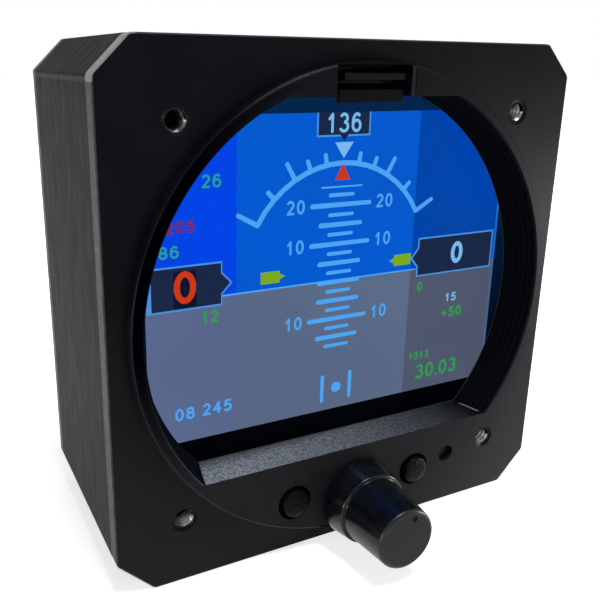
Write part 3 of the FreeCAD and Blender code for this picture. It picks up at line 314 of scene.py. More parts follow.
def printed_abs_layers():
    """Black ABS printed in layers that lie parallel to the plate: fine ribs, a dull grey cast."""
    material, tree = new_material("printed_abs_layers")
    across, _, height = axes_of(tree)
    side, rise, both = spans(tree, across, height)
    along = {"size": 0.9, "detail": 3.0, "stretch": (0.12, 1, 0.12)}
    pits = add(tree, "Math", {0: region(tree, [(side, 42.5, 43.0), (height, 35.3, 36.4)]),
                              1: grain(tree, 1.1, 1.0, (0, 1), 0.5, 0.6)}, operation="MULTIPLY")
    colour = painted(
        tree, mottled(tree, 6.0, 4.0, "#1A1917", "#201F1C"),
        # Faint streaks run along the layers, and the foot of the sides is painted paler, as painted
        # light from below
        (grain(tree, spread=(0, 0.25), **along), "#121211"),
        (region(tree, fades=[(height, 4, -40, 0.7)]), "#262523"),
        # The slanting corner faces are painted darker, as painted shade, and the pale, pitted seam
        # beside the sides is a painted highlight where the rounded edge catches the light
        (region(tree, [(both, 79.4, 90.0)]), "#0A0A0A"),
        (region(tree, [(side, 42.3, 43.0), (rise, 36.4, 37.1)]), "#2E2D2A"),
        (pits, "#0B0B0A"))
    # Layers are 0.2 mm and are drawn at 0.5 mm so that they show
    place = add(tree, "TexCoord", {}, "Object")
    ribs = add(tree, "TexWave",
               {"Vector": place, "Scale": 1 / (0.5 * MM) / math.pi,
                "Distortion": 0.6, "Detail": 2.0, "Detail Scale": 0.02},
               1, wave_type="BANDS", bands_direction="Y", wave_profile="SIN")
    skin = add(tree, "Bump", {"Height": grain(tree, **along), "Distance": 0.008 * MM})
    add(tree, "OutputMaterial", {"Surface": add(tree, "BsdfPrincipled", {
        "Base Color": colour, "Roughness": grain(tree, spread=(0.5, 0.6), **along),
        "Normal": add(tree, "Bump", {"Height": ribs, "Distance": 0.02 * MM, "Normal": skin}),
        "Specular IOR Level": 0.02})})
    return material


def printed_abs_raster():
    """Black ABS printed flat: the cover's skin shows its slanting passes."""
    material, tree = new_material("printed_abs_raster")
    place = add(tree, "TexCoord", {}, "Object")
    slanting = add(tree, "Mapping", {"Vector": place, "Rotation": (0, math.radians(45), 0)})
    # Passes are 0.4 mm apart and are drawn at 0.8 mm
    ribs = add(tree, "TexWave",
               {"Vector": slanting, "Scale": 1 / (0.8 * MM) / math.pi,
                "Distortion": 0.4, "Detail": 2.0, "Detail Scale": 0.02},
               1, wave_type="BANDS", bands_direction="X", wave_profile="SIN")
    add(tree, "OutputMaterial", {"Surface": add(tree, "BsdfPrincipled", {
        "Base Color": mottled(tree, 5.0, 4.0, "#262624", "#2F2F2C"),
        "Roughness": grain(tree, 5.0, 4.0, (0.42, 0.58)),
        "Normal": add(tree, "Bump", {"Height": ribs, "Distance": 0.05 * MM}),
        "Specular IOR Level": 0.15})})
    return material


def moulded_plastic(name, dark, light, rough, spot=0.4, depth=0.01, **values):
    """Injection-moulded plastic: even colour, and a fine eroded texture that dulls its sheen."""
    material, tree = new_material(name)
    add(tree, "OutputMaterial", {"Surface": add(tree, "BsdfPrincipled", {
        "Base Color": mottled(tree, 12.0, 2.0, dark, light),
        "Roughness": grain(tree, spot, 3.0, rough),
        "Normal": add(tree, "Bump", {"Height": grain(tree, spot, 3.0), "Distance": depth * MM}),
        **{SOCKETS[key]: value for key, value in values.items()}})})
    return material


def metal(name, dark, light, rough, spot=0.5, stretch=(1, 1, 1)):
    """Bare or plated metal: its fine tool marks break up the reflections."""
    material, tree = new_material(name)
    marks = grain(tree, spot, 3.0, stretch=stretch)
    add(tree, "OutputMaterial", {"Surface": add(tree, "BsdfPrincipled", {
        "Base Color": mottled(tree, 4.0, 2.0, dark, light), "Metallic": 1.0,
        "Roughness": grain(tree, spot, 3.0, rough, stretch=stretch),
        "Normal": add(tree, "Bump", {"Height": marks, "Distance": 0.006 * MM})})})
    return material


def coated_cover_glass():
    """Bonded cover glass: clear, faintly smeared; its low index stands for its coat."""
    material, tree = new_material("coated_cover_glass")
    add(tree, "OutputMaterial", {"Surface": add(tree, "BsdfPrincipled", {
        "Base Color": "#F4F8FA", "Roughness": grain(tree, 8.0, 3.0, (0.0, 0.015)), "IOR": 1.06,
        "Transmission Weight": 1.0, "Specular Tint": "#0E0C12"})})
    return material


def glass_epoxy_board():
    """Glass-epoxy board under green solder mask: its tracks show as a lighter green."""
    material, tree = new_material("green_glass_epoxy_board")
    place = add(tree, "TexCoord", {}, "Object")
    upright = add(tree, "Mapping", {"Vector": place, "Rotation": (math.radians(90), 0, 0)})
    tracks = add(tree, "TexBrick",
                 {"Vector": upright, "Color1": "#0E3B20", "Color2": "#14502B", "Mortar": "#2B7A45",
                  "Scale": 1.0, "Mortar Size": 0.12 * MM, "Brick Width": 3.1 * MM,
                  "Row Height": 1.3 * MM}, "Color", offset=0.5)
    raised = add(tree, "Bump", {"Height": tracks.node.outputs["Fac"], "Distance": 0.02 * MM})
    add(tree, "OutputMaterial", {"Surface": add(tree, "BsdfPrincipled", {
        "Base Color": tracks, "Roughness": 0.32, "Normal": raised, "Coat Weight": 0.3})})
    return material


def lit_dots(tree, colour):
    """Light of the display in one colour; its dots are too fine to see and leave a faint grain."""
    dots = grain(tree, 2 * DOT_PITCH, 1.0, (0.985, 1.0))
    return add(tree, "Emission", {"Color": colour, "Strength": dots})


def lit_colour(name, colour):
    """One colour of the lit liquid-crystal display."""
    material, tree = new_material(name)
    add(tree, "OutputMaterial", {"Surface": lit_dots(tree, colour)})
    return material


def lit_sky_and_ground():
    """Sky and ground of the lit picture, with darker side bands and the tint of a slanted look."""
    material, tree = new_material("lit_sky_and_ground")
    across, _, height = axes_of(tree)
    along = add(tree, "MapRange", {"Value": across, "From Min": -ACTIVE_WIDTH / 2 * MM,
                                   "From Max": ACTIVE_WIDTH / 2 * MM})
    bands = []
    edges = [0.0] + [0.5 + x / ACTIVE_WIDTH for x in (LEFT_BAND, RIGHT_BAND, RIGHT_STRIP)]
    for colours in (("#0446EA", "#055CD4", "#0046B0", "#1A6ED0"),
                    ("#5F6C92", "#5E6D8A", "#535A70", "#4C6790")):
        ramp = add(tree, "ValToRGB", {0: along})
        ramp.node.color_ramp.interpolation = "CONSTANT"
        spots = ramp.node.color_ramp.elements
        for k, (edge, colour) in enumerate(zip(edges, colours)):
            spot = spots[k] if k < 2 else spots.new(edge)
            spot.position = edge
            spot.color = linear(colour)
        bands.append(ramp)
    below = add(tree, "Math", {0: height, 1: HORIZON * MM}, operation="LESS_THAN")
    # The backlight is a little uneven, as it is on a small cheap cell
    uneven = grain(tree, 22.0, 1.0, (0.0, 0.10))
    picture = painted(tree, bands[0], (below, bands[1]), (uneven, "#203050"))
    add(tree, "OutputMaterial", {"Surface": lit_dots(tree, picture)})
    return material


def black_glass_print():
    """Black print on the back of the glass, which the backlight tints navy along its top."""
    material, tree = new_material("black_glass_print")
    height = axes_of(tree)[2]
    glow = painted(tree, "#010103", (region(tree, fades=[(height, -20, 32)]), "#04264E"))
    light = add(tree, "Emission", {"Color": glow, "Strength": 0.9})
    ink = add(tree, "BsdfPrincipled", {"Base Color": "#020304", "Specular IOR Level": 0.0,
                                       "Roughness": grain(tree, 0.3, 2.0, (0.5, 0.6))})
    add(tree, "OutputMaterial", {"Surface": add(tree, "AddShader", {0: light, 1: ink})})
    return material


def polished_black_abs():
    """Polished black ABS knob: deep gloss with the faintest flow marks."""
    material, tree = new_material("polished_black_abs")
    # The rounded end is turned matt like the disc in it
    start = (KNOB_BASE - KNOB_LENGTH + 1.2 * KNOB_END_ROUND) * MM
    end = add(tree, "Math", {0: axes_of(tree)[1], 1: start}, operation="LESS_THAN")
    gloss = grain(tree, 0.35, 4.0, (0.12, 0.2))
    add(tree, "OutputMaterial", {"Surface": add(tree, "BsdfPrincipled", {
        "Base Color": painted(tree, mottled(tree, 2.5, 2.0, "#040508", "#08090C"), (end, "#0D0E11")),
        "Roughness": add(tree, "Mix", {0: end, 2: gloss, 3: 0.34}),
        "Normal": add(tree, "Bump", {"Height": grain(tree, 2.5), "Distance": 0.004 * MM}),
        "Specular IOR Level": 0.2})})
    return material


def grained_silicone():
    """Silicone button skin: a coarse leather-like grain and a dull sheen."""
    material, tree = new_material("grained_silicone")
    place = add(tree, "TexCoord", {}, "Object")
    cells = add(tree, "TexVoronoi", {"Vector": place, "Scale": 1 / (0.45 * MM)}, feature="SMOOTH_F1")
    skin = add(tree, "Bump", {"Height": grain(tree, 0.18, 3.0), "Distance": 0.06 * MM})
    add(tree, "OutputMaterial", {"Surface": add(tree, "BsdfPrincipled", {
        "Base Color": mottled(tree, 0.18, 3.0, "#030306", "#07080A"),
        "Roughness": grain(tree, 0.18, 3.0, (0.28, 0.42)),
        "Normal": add(tree, "Bump", {"Height": cells, "Distance": 0.16 * MM, "Normal": skin}),
        "Specular IOR Level": 0.04})})
    return material


SOCKETS = {"level": "Specular IOR Level", "subsurface": "Subsurface Weight",
           "clear": "Transmission Weight", "ior": "IOR"}


def make_materials():
    """Every finish by a short key."""
    plastics = {
        "satin": ("satin_black_abs", "#0B0C0F", "#0F1013", (0.4, 0.48), 0.3, 0.01, {"level": 0.12}),
        "black": ("moulded_black_nylon", "#0E0F10", "#17181A", (0.4, 0.55), 0.4, 0.01, {}),
        "card": ("moulded_card_shell", "#040506", "#08090A", (0.35, 0.45), 0.25, 0.01,
                 {"level": 0.05}),
        "socket": ("moulded_socket_nylon", "#040405", "#08080A", (0.5, 0.6), 0.3, 0.01,
                   {"level": 0.02}),
        "white": ("white_fluoropolymer", "#E6E4DE", "#F2F0EA", (0.35, 0.5), 0.4, 0.01, {}),
        "smoke": ("smoked_polycarbonate", "#050404", "#0A0808", (0.3, 0.4), 1.5, 0.002,
                  {"level": 0.05}),
        "chip": ("filled_epoxy_package", "#17181A", "#202123", (0.5, 0.65), 0.2, 0.01, {}),
        "ribbon": ("grey_ribbon_vinyl", "#8E9092", "#A3A5A6", (0.4, 0.5), 1.2, 0.05, {}),
        "tube": ("milky_silicone_tube", "#C9CCC8", "#DDDFDB", (0.28, 0.4), 1.0, 0.01,
                 {"subsurface": 0.2}),
        "cable": ("black_cable_jacket", "#141416", "#1C1C1F", (0.4, 0.5), 0.6, 0.02, {}),
        "gasket": ("foam_gasket", "#0B0B0C", "#131314", (0.7, 0.85), 0.3, 0.04, {}),
        "guide": ("clear_acrylic_sheet", "#E8ECEE", "#F6F8FA", (0.03, 0.08), 3.0, 0.002,
                  {"clear": 0.8, "ior": 1.49}),
        "flex": ("polyimide_film", "#A8661C", "#C07A28", (0.25, 0.35), 1.5, 0.01, {}),
    }
    finishes = {key: moulded_plastic(*row, **values) for key, (*row, values) in plastics.items()}
    metals = {
        "spring": ("blackened_spring_steel", "#121316", "#1C1D20", (0.35, 0.5)),
        "steel": ("stainless_steel", "#9C9C98", "#B4B3AE", (0.25, 0.4)),
        "dark_steel": ("black_oxide_steel", "#242423", "#35342F", (0.38, 0.5)),
        "tin": ("tinned_steel_can", "#A9ABAA", "#C2C4C3", (0.3, 0.45), 0.8),
        "brass": ("turned_brass", "#A58A55", "#BCA069", (0.2, 0.34), 0.3, (1, 6, 1)),
        "gold": ("gold_plating", "#C29E57", "#D3B06C", (0.16, 0.26)),
        "zinc": ("zinc_plated_steel", "#A6A8AC", "#C0C2C6", (0.25, 0.38)),
        "thread": ("tapped_bare_aluminium", "#5C5D62", "#84847F", (0.2, 0.35), 0.4),
    }
    finishes.update({key: metal(*row) for key, row in metals.items()})
    finishes.update({
        "bezel": black_anodised_aluminium(), "case": printed_abs_layers(),
        "cover": printed_abs_raster(), "gloss": polished_black_abs(), "rubber": grained_silicone(),
        "glass": coated_cover_glass(), "board": glass_epoxy_board()})
    return finishes


FINISH_OF_NODE = {
    "front_bezel": "bezel", "case_body": "case", "rear_cover": "cover", "case_screws": "dark_steel",
    "glass_gasket": "gasket", "display_glass": "glass", "lcd_cell": "black",
    "backlight_frame": "steel", "light_guide": "guide", "display_flex": "flex",
    "flex_connector": "white", "display_carrier": "black", "carrier_screws": "zinc",
    "main_board": "board", "board_screws": "zinc", "processor_shield": "tin",
    "board_chips": "chip", "power_parts": "chip", "receiver_module": "tin",
    "attitude_board": "board", "attitude_pillars": "brass", "attitude_sensors": "chip",
    "board_header": "black", "control_board": "board", "switch_body_left": "black",
    "switch_body_right": "black", "switch_plunger_left": "white", "switch_plunger_right": "white",
    "button_left": "rubber", "button_right": "rubber", "light_sensor": "chip",
    "sensor_guide": "smoke", "encoder_body": "zinc", "encoder_washer": "zinc",
    "encoder_nut": "zinc", "encoder_rotor": "white", "encoder_shaft": "steel",
    "push_dome": "steel", "knob_body": "gloss", "knob_cap": "satin", "card_lip": "bezel",
    "socket_shell": "spring", "socket_base": "socket", "card_board": "board",
    "memory_card": "card", "connector_shell": "tin", "connector_insulator": "black",
    "connector_contacts": "gold", "jack_screws": "zinc", "rear_ribbon": "ribbon",
    "ribbon_header": "black", "pitot_fitting": "brass", "static_fitting": "brass",
    "fitting_nuts": "brass", "pressure_sensor_pitot": "white", "pressure_sensor_static": "white",
    "pressure_tubes": "tube", "antenna_connector": "gold", "antenna_insulator": "white",
    "antenna_cable": "cable",
}


def dress_nodes(finishes):
    """Gives each CAD node its finish."""
    for name, key in FINISH_OF_NODE.items():
        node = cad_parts[name]
        if not node.material_slots:
            node.data.materials.append(finishes[key])
        for slot in node.material_slots:
            slot.material = finishes[key]


def deselect():
    bpy.ops.object.select_all(action="DESELECT")


def take(*pieces):
    """Selects these pieces and no other; the first is the active one."""
    deselect()
    for piece in pieces:
        piece.select_set(True)
    bpy.context.view_layer.objects.active = pieces[0]


def stand_up(piece, place, turn=0.0, tilt=90):
    """Turns a piece drawn on the ground plane to face the pilot and sets it at its place."""
    take(piece)
    piece.matrix_world = (Matrix.Translation(Vector(place) * MM) @ Matrix.Rotation(turn, 4, "Y")
                          @ Matrix.Rotation(math.radians(tilt), 4, "X"))
    bpy.ops.object.transform_apply(location=True, rotation=True, scale=True)


def place_flat(piece, x, z, layer, turn=0.0):
    """Stands a film up in its layer of the picture."""
    stand_up(piece, (x, PICTURE_BACK - 2 * FILM * layer, z), turn)


def hand_over(piece, name, body, finish):
    """Names a finished piece, gives it its finish and lets it ride on its body."""
    piece.name = name
    piece.data.materials.clear()
    piece.data.materials.append(finish)
    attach(piece, body)


def thicken(piece):
    """Gives a flat film its small thickness."""
    bpy.ops.object.mode_set(mode="EDIT")
    bpy.ops.mesh.select_all(action="SELECT")
    bpy.ops.mesh.extrude_region_move(TRANSFORM_OT_translate={"value": (0, 0, FILM * MM)})
    bpy.ops.mesh.select_all(action="SELECT")
    bpy.ops.mesh.normals_make_consistent(inside=False)
    bpy.ops.object.mode_set(mode="OBJECT")


def pick(piece, test):
    """In edit mode, selects the corners of a piece whose place passes the test."""
    bpy.ops.object.mode_set(mode="EDIT")
    bpy.ops.mesh.select_all(action="DESELECT")
    mesh = bmesh.from_edit_mesh(piece.data)
    for corner in mesh.verts:
        corner.select_set(test(corner.co))
    mesh.select_flush_mode()
    bmesh.update_edit_mesh(piece.data)


def stroke(x0, z0, x1, z1, width, layer):
    """Straight line of the picture with round ends."""
    deselect()
    bpy.ops.mesh.primitive_circle_add(vertices=12, radius=width / 2 * MM, fill_type="NGON")
    piece = bpy.context.object
    length = math.hypot(x1 - x0, z1 - z0)
    pick(piece, lambda place: place.x > 0)
    bpy.ops.transform.translate(value=(length * MM, 0, 0))
    bpy.ops.object.mode_set(mode="OBJECT")
    thicken(piece)
    place_flat(piece, x0, z0, layer, math.atan2(z0 - z1, x1 - x0))
    return piece


def patch(x0, z0, x1, z1, layer, point=0.0):
    """Filled rectangle of the picture; a point sticks out of its right or left side."""
    deselect()
    width, height = (x1 - x0), (z1 - z0)
    bpy.ops.mesh.primitive_plane_add(size=1)
    piece = bpy.context.object
    piece.scale = (width * MM, height * MM, 1)
    bpy.ops.object.transform_apply(location=False, rotation=False, scale=True)
    if point:
        side = math.copysign(1, point)
        pick(piece, lambda place: place.x * side > 0)
        bpy.ops.mesh.subdivide(number_cuts=3)
        bpy.ops.object.mode_set(mode="OBJECT")
        pick(piece, lambda place: place.x * side > 0 and abs(place.y) < 0.01 * height * MM)
        bpy.ops.transform.translate(value=(point * MM, 0, 0))
        bpy.ops.object.mode_set(mode="OBJECT")
    thicken(piece)
    place_flat(piece, (x0 + x1) / 2, (z0 + z1) / 2, layer)
    return piece


def wedge(x, z, width, height, layer):
    """Filled triangle; a negative height points down."""
    deselect()
    bpy.ops.mesh.primitive_circle_add(vertices=3, radius=1 * MM, fill_type="NGON")
    piece = bpy.context.object
    low, high = min(c.co.y for c in piece.data.vertices), max(c.co.y for c in piece.data.vertices)
    wide = max(c.co.x for c in piece.data.vertices) * 2
    piece.scale = (width * MM / wide, abs(height) * MM / (high - low), 1)
    bpy.ops.object.transform_apply(location=False, rotation=False, scale=True)
    thicken(piece)
    place_flat(piece, x, z, layer, math.pi if height < 0 else 0.0)
    return piece


def arc(x, z, reach, rise, width, start, sweep, layer):
    """Line along part of an oval, of even width; it starts at an angle and runs clockwise."""
    deselect()
    bpy.ops.mesh.primitive_plane_add(size=1)
    piece = bpy.context.object
    pick(piece, lambda place: place.y < 0)
    bpy.ops.mesh.delete(type="VERT")
    bpy.ops.mesh.select_all(action="SELECT")
    bpy.ops.transform.translate(value=(1, -0.5, 0))
    bpy.ops.mesh.spin(steps=max(8, round(sweep / 7.5)), angle=math.radians(sweep), center=(0, 0, 0),
                      axis=(0, 0, 1))
    if sweep == 360:
        bpy.ops.mesh.select_all(action="SELECT")
        bpy.ops.mesh.remove_doubles(threshold=0.001)
    bpy.ops.object.mode_set(mode="OBJECT")
    for corner in piece.data.vertices:
        side = (corner.co.length - 1) * width
        turn = math.radians(start) - (-math.atan2(corner.co.y, corner.co.x) + 1e-4) % (2 * math.pi)
        corner.co = Vector(((reach + side) * math.cos(turn), (rise + side) * math.sin(turn), 0)) * MM
    thicken(piece)
    place_flat(piece, x, z, layer)
    return piece


# Each figure is drawn with lines and arcs in a box one wide and one high
NUMERALS = {
    "0": [(0.5, 0.5, 0.5, 0.5, 90, 360)],
    "1": [(0.62, 0, 0.62, 1), (0.62, 1, 0.22, 0.74)],
    "2": [(0.5, 0.71, 0.47, 0.29, 165, 195), (0.94, 0.6, 0.03, 0), (0.03, 0, 1, 0)],
    "3": [(0.47, 0.76, 0.43, 0.24, 160, 250), (0.48, 0.27, 0.52, 0.27, 90, 250)],
    "4": [(0.74, 0, 0.74, 1), (0.74, 1, 0, 0.32), (0, 0.32, 1, 0.32)],
    "5": [(0.9, 1, 0.2, 1), (0.2, 1, 0.1, 0.5), (0.47, 0.32, 0.53, 0.32, 135, 285)],
    "6": [(0.5, 0.31, 0.5, 0.31, 90, 360), (0.53, 0.52, 0.53, 0.48, 180, 135), (0, 0.52, 0, 0.31)],
    "8": [(0.5, 0.76, 0.42, 0.24, 90, 360), (0.5, 0.26, 0.5, 0.26, 90, 360)],
    "+": [(0.05, 0.42, 0.95, 0.42), (0.5, 0.14, 0.5, 0.7)],
    ".": [(0.5, 0, 0.5, 0.03)],
}
NARROW = {".": 0.35, " ": 0.5}


def figures(text, x, z, height, pitch, weight, layer):
    """Row of figures centred on (x, z); pitch is the step from one to the next."""
    pieces = []
    place = x - sum(NARROW.get(sign, 1) for sign in text) * pitch / 2
    wide = pitch * 0.8 - weight
    tall = height - weight
    for sign in text:
        step = pitch * NARROW.get(sign, 1)
        left = place + step / 2 - wide / 2
        low = z - tall / 2
        for part in NUMERALS.get(sign, []):
            start = (left + part[0] * wide, low + part[1] * tall)
            if len(part) == 4:
                end = (left + part[2] * wide, low + part[3] * tall)
                pieces.append(stroke(*start, *end, weight, layer))
            else:
                pieces.append(arc(*start, part[2] * wide, part[3] * tall, weight, *part[4:], layer))
        place += step
    return pieces


def gather(pieces, name, finish):
    """Joins films of one colour into a named piece of the picture."""
    take(*pieces)
    if len(pieces) > 1:
        bpy.ops.object.join()
    hand_over(bpy.context.object, name, "housing", finish)


# Marks of the attitude picture, in millimetres from the middle of the panel holes
DIAL_X = -0.4
DIAL_Z = 5.6
DIAL_RADIUS = 17.9
DIAL_END = 61
DIAL_TICKS = ((10, 1.6), (20, 1.6), (30, 3.0), (45, 1.6), (DIAL_END, 3.8))
LADDER_STEP = 1.675
LADDER_ZERO = 3.15
LONG_BAR = 5.6
MIDDLE_BAR = 3.9
SHORT_BAR = 2.2
BAR_WIDTH = 0.85
NUMBER_REACH = 8.75


def draw_dial():
    """Bank scale round the top and the pitch ladder inside it."""
    lines = [arc(DIAL_X, DIAL_Z, DIAL_RADIUS, DIAL_RADIUS, BAR_WIDTH,
                 90 + DIAL_END, 2 * DIAL_END, 3)]
    for angle, length in DIAL_TICKS:
        for side in (-1, 1):
            across = math.sin(math.radians(angle) * side)
            up = math.cos(math.radians(angle))
            outer = DIAL_RADIUS + length
            lines.append(stroke(DIAL_X + DIAL_RADIUS * across, DIAL_Z + DIAL_RADIUS * up,
                                DIAL_X + outer * across, DIAL_Z + outer * up, BAR_WIDTH, 3))
    for step in range(-7, 10):
        z = LADDER_ZERO + LADDER_STEP * step
        width = BAR_WIDTH
        if step % 4 == 0 and step:
            half = LONG_BAR
        elif step % 2 == 0:
            half = MIDDLE_BAR
        else:
            half = SHORT_BAR
            width = BAR_WIDTH * 0.8
        lines.append(stroke(DIAL_X - half, z, DIAL_X + half, z, width, 3))
    top = LADDER_ZERO + LADDER_STEP * 9.8
    lines.append(stroke(DIAL_X - MIDDLE_BAR, top, DIAL_X + MIDDLE_BAR, top, 0.3, 3))
    for side in (-1, 1):
        for level, text in ((8, "20"), (4, "10"), (-4, "10")):
            z = LADDER_ZERO + LADDER_STEP * level + 0.1
            lines += figures(text, DIAL_X + side * NUMBER_REACH, z, 2.4, 1.9, 0.42, 3)
    return lines


def draw_picture():
    """All the lit pieces of the display, one piece for each colour."""
    half = ACTIVE_WIDTH / 2
    low = ACTIVE_CENTRE - ACTIVE_HEIGHT / 2
    high = ACTIVE_CENTRE + ACTIVE_HEIGHT / 2
    gather([patch(-half, low, half, high, 1)], "picture_background", lit_sky_and_ground())

    pale = draw_dial()
    pale.append(stroke(LEFT_BAND - 2.3, HORIZON, RIGHT_BAND + 1.1, HORIZON, 0.3, 2))
    for x in (-2.9, 2.9):
        pale.append(stroke(x, -14.4, x, -19.0, 0.75, 3))
    pale.append(stroke(0.0, -16.8, 0.05, -16.8, 2.0, 3))
    pale += figures("08 245", -25.6, -15.9, 2.2, 1.9, 0.42, 3)
    gather(pale, "picture_scales", lit_colour("lit_pale_blue", "#4FA6F4"))

    bright = [wedge(DIAL_X + 0.1, 26.0, 3.6, -2.6, 3)]
    bright += figures("136", -0.5, 30.0, 3.2, 2.4, 0.5, 5)
    bright += figures("0", 25.6, 5.6, 4.2, 3.5, 0.85, 5)
    bright += figures("15", 25.0, -3.1, 1.7, 1.5, 0.32, 3)
    gather(bright, "picture_readings", lit_colour("lit_bright_blue", "#7CBCF2"))

    edge = [patch(-5.6, 27.8, 4.7, 31.65, 3), patch(-35.04, 1.85, -22.2, 9.15, 3, 1.8),
            patch(16.4, 1.85, 34.2, 9.15, 3, -1.6)]
    gather(edge, "picture_box_edges", lit_colour("lit_edge_blue", "#4C92DC"))

    dark = [patch(-5.3, 28.1, 4.4, 31.65, 4), wedge(-0.35, 27.8, 1.8, -1.2, 4),
            patch(-34.0, 2.15, -22.4, 8.85, 4, 1.6), patch(16.7, 2.15, 33.9, 8.85, 4, -1.4)]
    gather(dark, "picture_boxes", lit_colour("lit_navy", "#1B2947"))

    red = [wedge(DIAL_X, 21.6, 3.0, 2.7, 3)]
    red += figures("0", -28.5, 5.6, 5.3, 4.6, 1.0, 6)
    gather(red, "picture_warnings", lit_colour("lit_red", "#D03A1C"))
    gather(figures("205", -29.1, 15.2, 2.0, 1.7, 0.36, 3), "picture_faint_warning",
           lit_colour("lit_dim_red", "#84284A"))
    gather([patch(-30.4, 2.3, -26.6, 8.3, 5)], "picture_digit_ground",
           lit_colour("lit_black", "#101830"))

    teal = figures("26", -23.9, 21.9, 2.1, 1.8, 0.36, 3)
    teal += figures("86", -31.0, 11.4, 2.0, 1.8, 0.36, 3)
    gather(teal, "picture_labels", lit_colour("lit_teal", "#2C9C9A"))
    green = figures("12", -24.4, 0.2, 2.1, 1.7, 0.36, 3)
    green += figures("0", 17.4, -0.1, 1.7, 1.4, 0.36, 3)
    green += figures("+50", 25.5, -6.1, 2.1, 1.7, 0.42, 3)
    green += figures("1013", 18.4, -13.9, 1.6, 1.25, 0.34, 3)
    green += figures("30.03", 22.9, -17.3, 3.0, 2.4, 0.5, 3)
    gather(green, "picture_units", lit_colour("lit_green", "#2BA24C"))

    wings = [patch(-15.4, 4.35, -11.9, 6.4, 3, 1.1), patch(11.2, 4.5, 14.9, 6.55, 3, -1.1)]
    gather(wings, "picture_wings", lit_colour("lit_lime", "#7CAE22"))


def turned(profile, rounds, vertices=96):
    """Piece turned from pairs of radius and height, back to front, with rounded edges."""
    deselect()
    bpy.ops.mesh.primitive_circle_add(vertices=vertices, radius=profile[0][0] * MM, fill_type="NGON")
    piece = bpy.context.object
    bpy.ops.object.mode_set(mode="EDIT")
    bpy.ops.mesh.select_all(action="SELECT")
    bpy.ops.transform.translate(value=(0, 0, profile[0][1] * MM))
    for (radius, low), (following, high) in zip(profile, profile[1:]):
        bpy.ops.mesh.extrude_region_move(TRANSFORM_OT_translate={"value": (0, 0, (high - low) * MM)})
        bpy.ops.transform.resize(value=(following / radius, following / radius, 1))
    bpy.ops.object.mode_set(mode="OBJECT")
    for index, size in rounds.items():
        radius, height = profile[index]
        pick(piece, lambda place: abs(place.z - height * MM) < 1e-6
             and abs(place.xy.length - radius * MM) < 2e-5)
        bpy.ops.mesh.bevel(offset=size * MM, segments=5, affect="EDGES")
        bpy.ops.object.mode_set(mode="OBJECT")
    bpy.ops.object.mode_set(mode="EDIT")
    bpy.ops.mesh.select_all(action="SELECT")
    bpy.ops.mesh.normals_make_consistent(inside=False)
    bpy.ops.object.mode_set(mode="OBJECT")
    bpy.ops.object.shade_smooth_by_angle(angle=math.radians(40))
    return piece


def cut_away(piece, cutter):
    """Takes the cutter's volume out of the piece."""
    take(piece)
    bpy.ops.object.modifier_add(type="BOOLEAN")
    change = piece.modifiers[-1]
    change.operation = "DIFFERENCE"
    change.object = cutter
    bpy.ops.object.modifier_apply(modifier=change.name)
    take(cutter)
    bpy.ops.object.delete()


def turn_knob(finishes):
    """Knob with its flared skirt, and the matt disc with the index dimple in its end."""
    grip = ((GRIP_RADII[0], KNOB_SKIRT[-1][1]), (GRIP_RADII[1], KNOB_LENGTH))
    seat = ((DISC_RADIUS, KNOB_LENGTH), (DISC_RADIUS - 0.01, KNOB_LENGTH - DISC_SEAT))
    shell = turned([*KNOB_HOLLOW, *KNOB_SKIRT, *grip, *seat],
                   {6: SKIRT_ROUND, 7: GRIP_ROUND, 8: KNOB_END_ROUND})
    stand_up(shell, (0, KNOB_BASE, KNOB_Z))
    hand_over(shell, "knob_shell", "knob", finishes["gloss"])
    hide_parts("knob_body")

    radius = DISC_RADIUS - DISC_GAP
    disc = turned([(radius, KNOB_LENGTH - DISC_SEAT + DISC_GAP), (radius, KNOB_LENGTH)], {})
    reach = DISC_RADIUS - DIMPLE_INSET
    place = Vector((reach * math.sin(DIMPLE_TURN), reach * math.cos(DIMPLE_TURN), KNOB_LENGTH)) * MM
    bpy.ops.mesh.primitive_uv_sphere_add(segments=24, ring_count=16, radius=DIMPLE_RADIUS * MM,
                                         location=place)
    cut_away(disc, bpy.context.object)
    stand_up(disc, (0, KNOB_BASE, KNOB_Z))
    hand_over(disc, "knob_disc", "knob", finishes["satin"])
    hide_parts("knob_cap")


def turn_buttons(finishes):
    """Low domed button caps, with the flange behind the plate that keeps them in."""
    for side, x in (("left", -BUTTON_X), ("right", BUTTON_X)):
        cap = turned(BUTTON_PROFILE, {5: BUTTON_ROUND}, 64)
        stand_up(cap, (x, BUTTON_BACK, BUTTON_Z))
        hand_over(cap, f"button_cap_{side}", f"button_{side}", finishes["rubber"])
        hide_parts(f"button_{side}")


def bar_under_card(finishes):
    """Guide bar under the mouth of the card slot, on a foot that stands in the notch."""
    parts = []
    for half, front, back, low, high in BAR_BLOCKS:
        deselect()
        bpy.ops.mesh.primitive_cube_add(
            size=1, location=(0, (front + back) / 2 * MM, (low + high) / 2 * MM))
        block = bpy.context.object
        block.scale = Vector((2 * half, back - front, high - low)) * MM
        bpy.ops.object.transform_apply(location=True, rotation=True, scale=True)
        bpy.ops.object.modifier_add(type="BEVEL")
        edge = block.modifiers[-1]
        edge.width = BAR_EDGE * MM
        edge.segments = 2
        bpy.ops.object.modifier_apply(modifier=edge.name)
        parts.append(block)
    take(*parts)
    bpy.ops.object.join()
    bar = bpy.context.object
    hand_over(bar, "card_guide_bar", "housing", finishes["bezel"])
    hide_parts("card_lip")


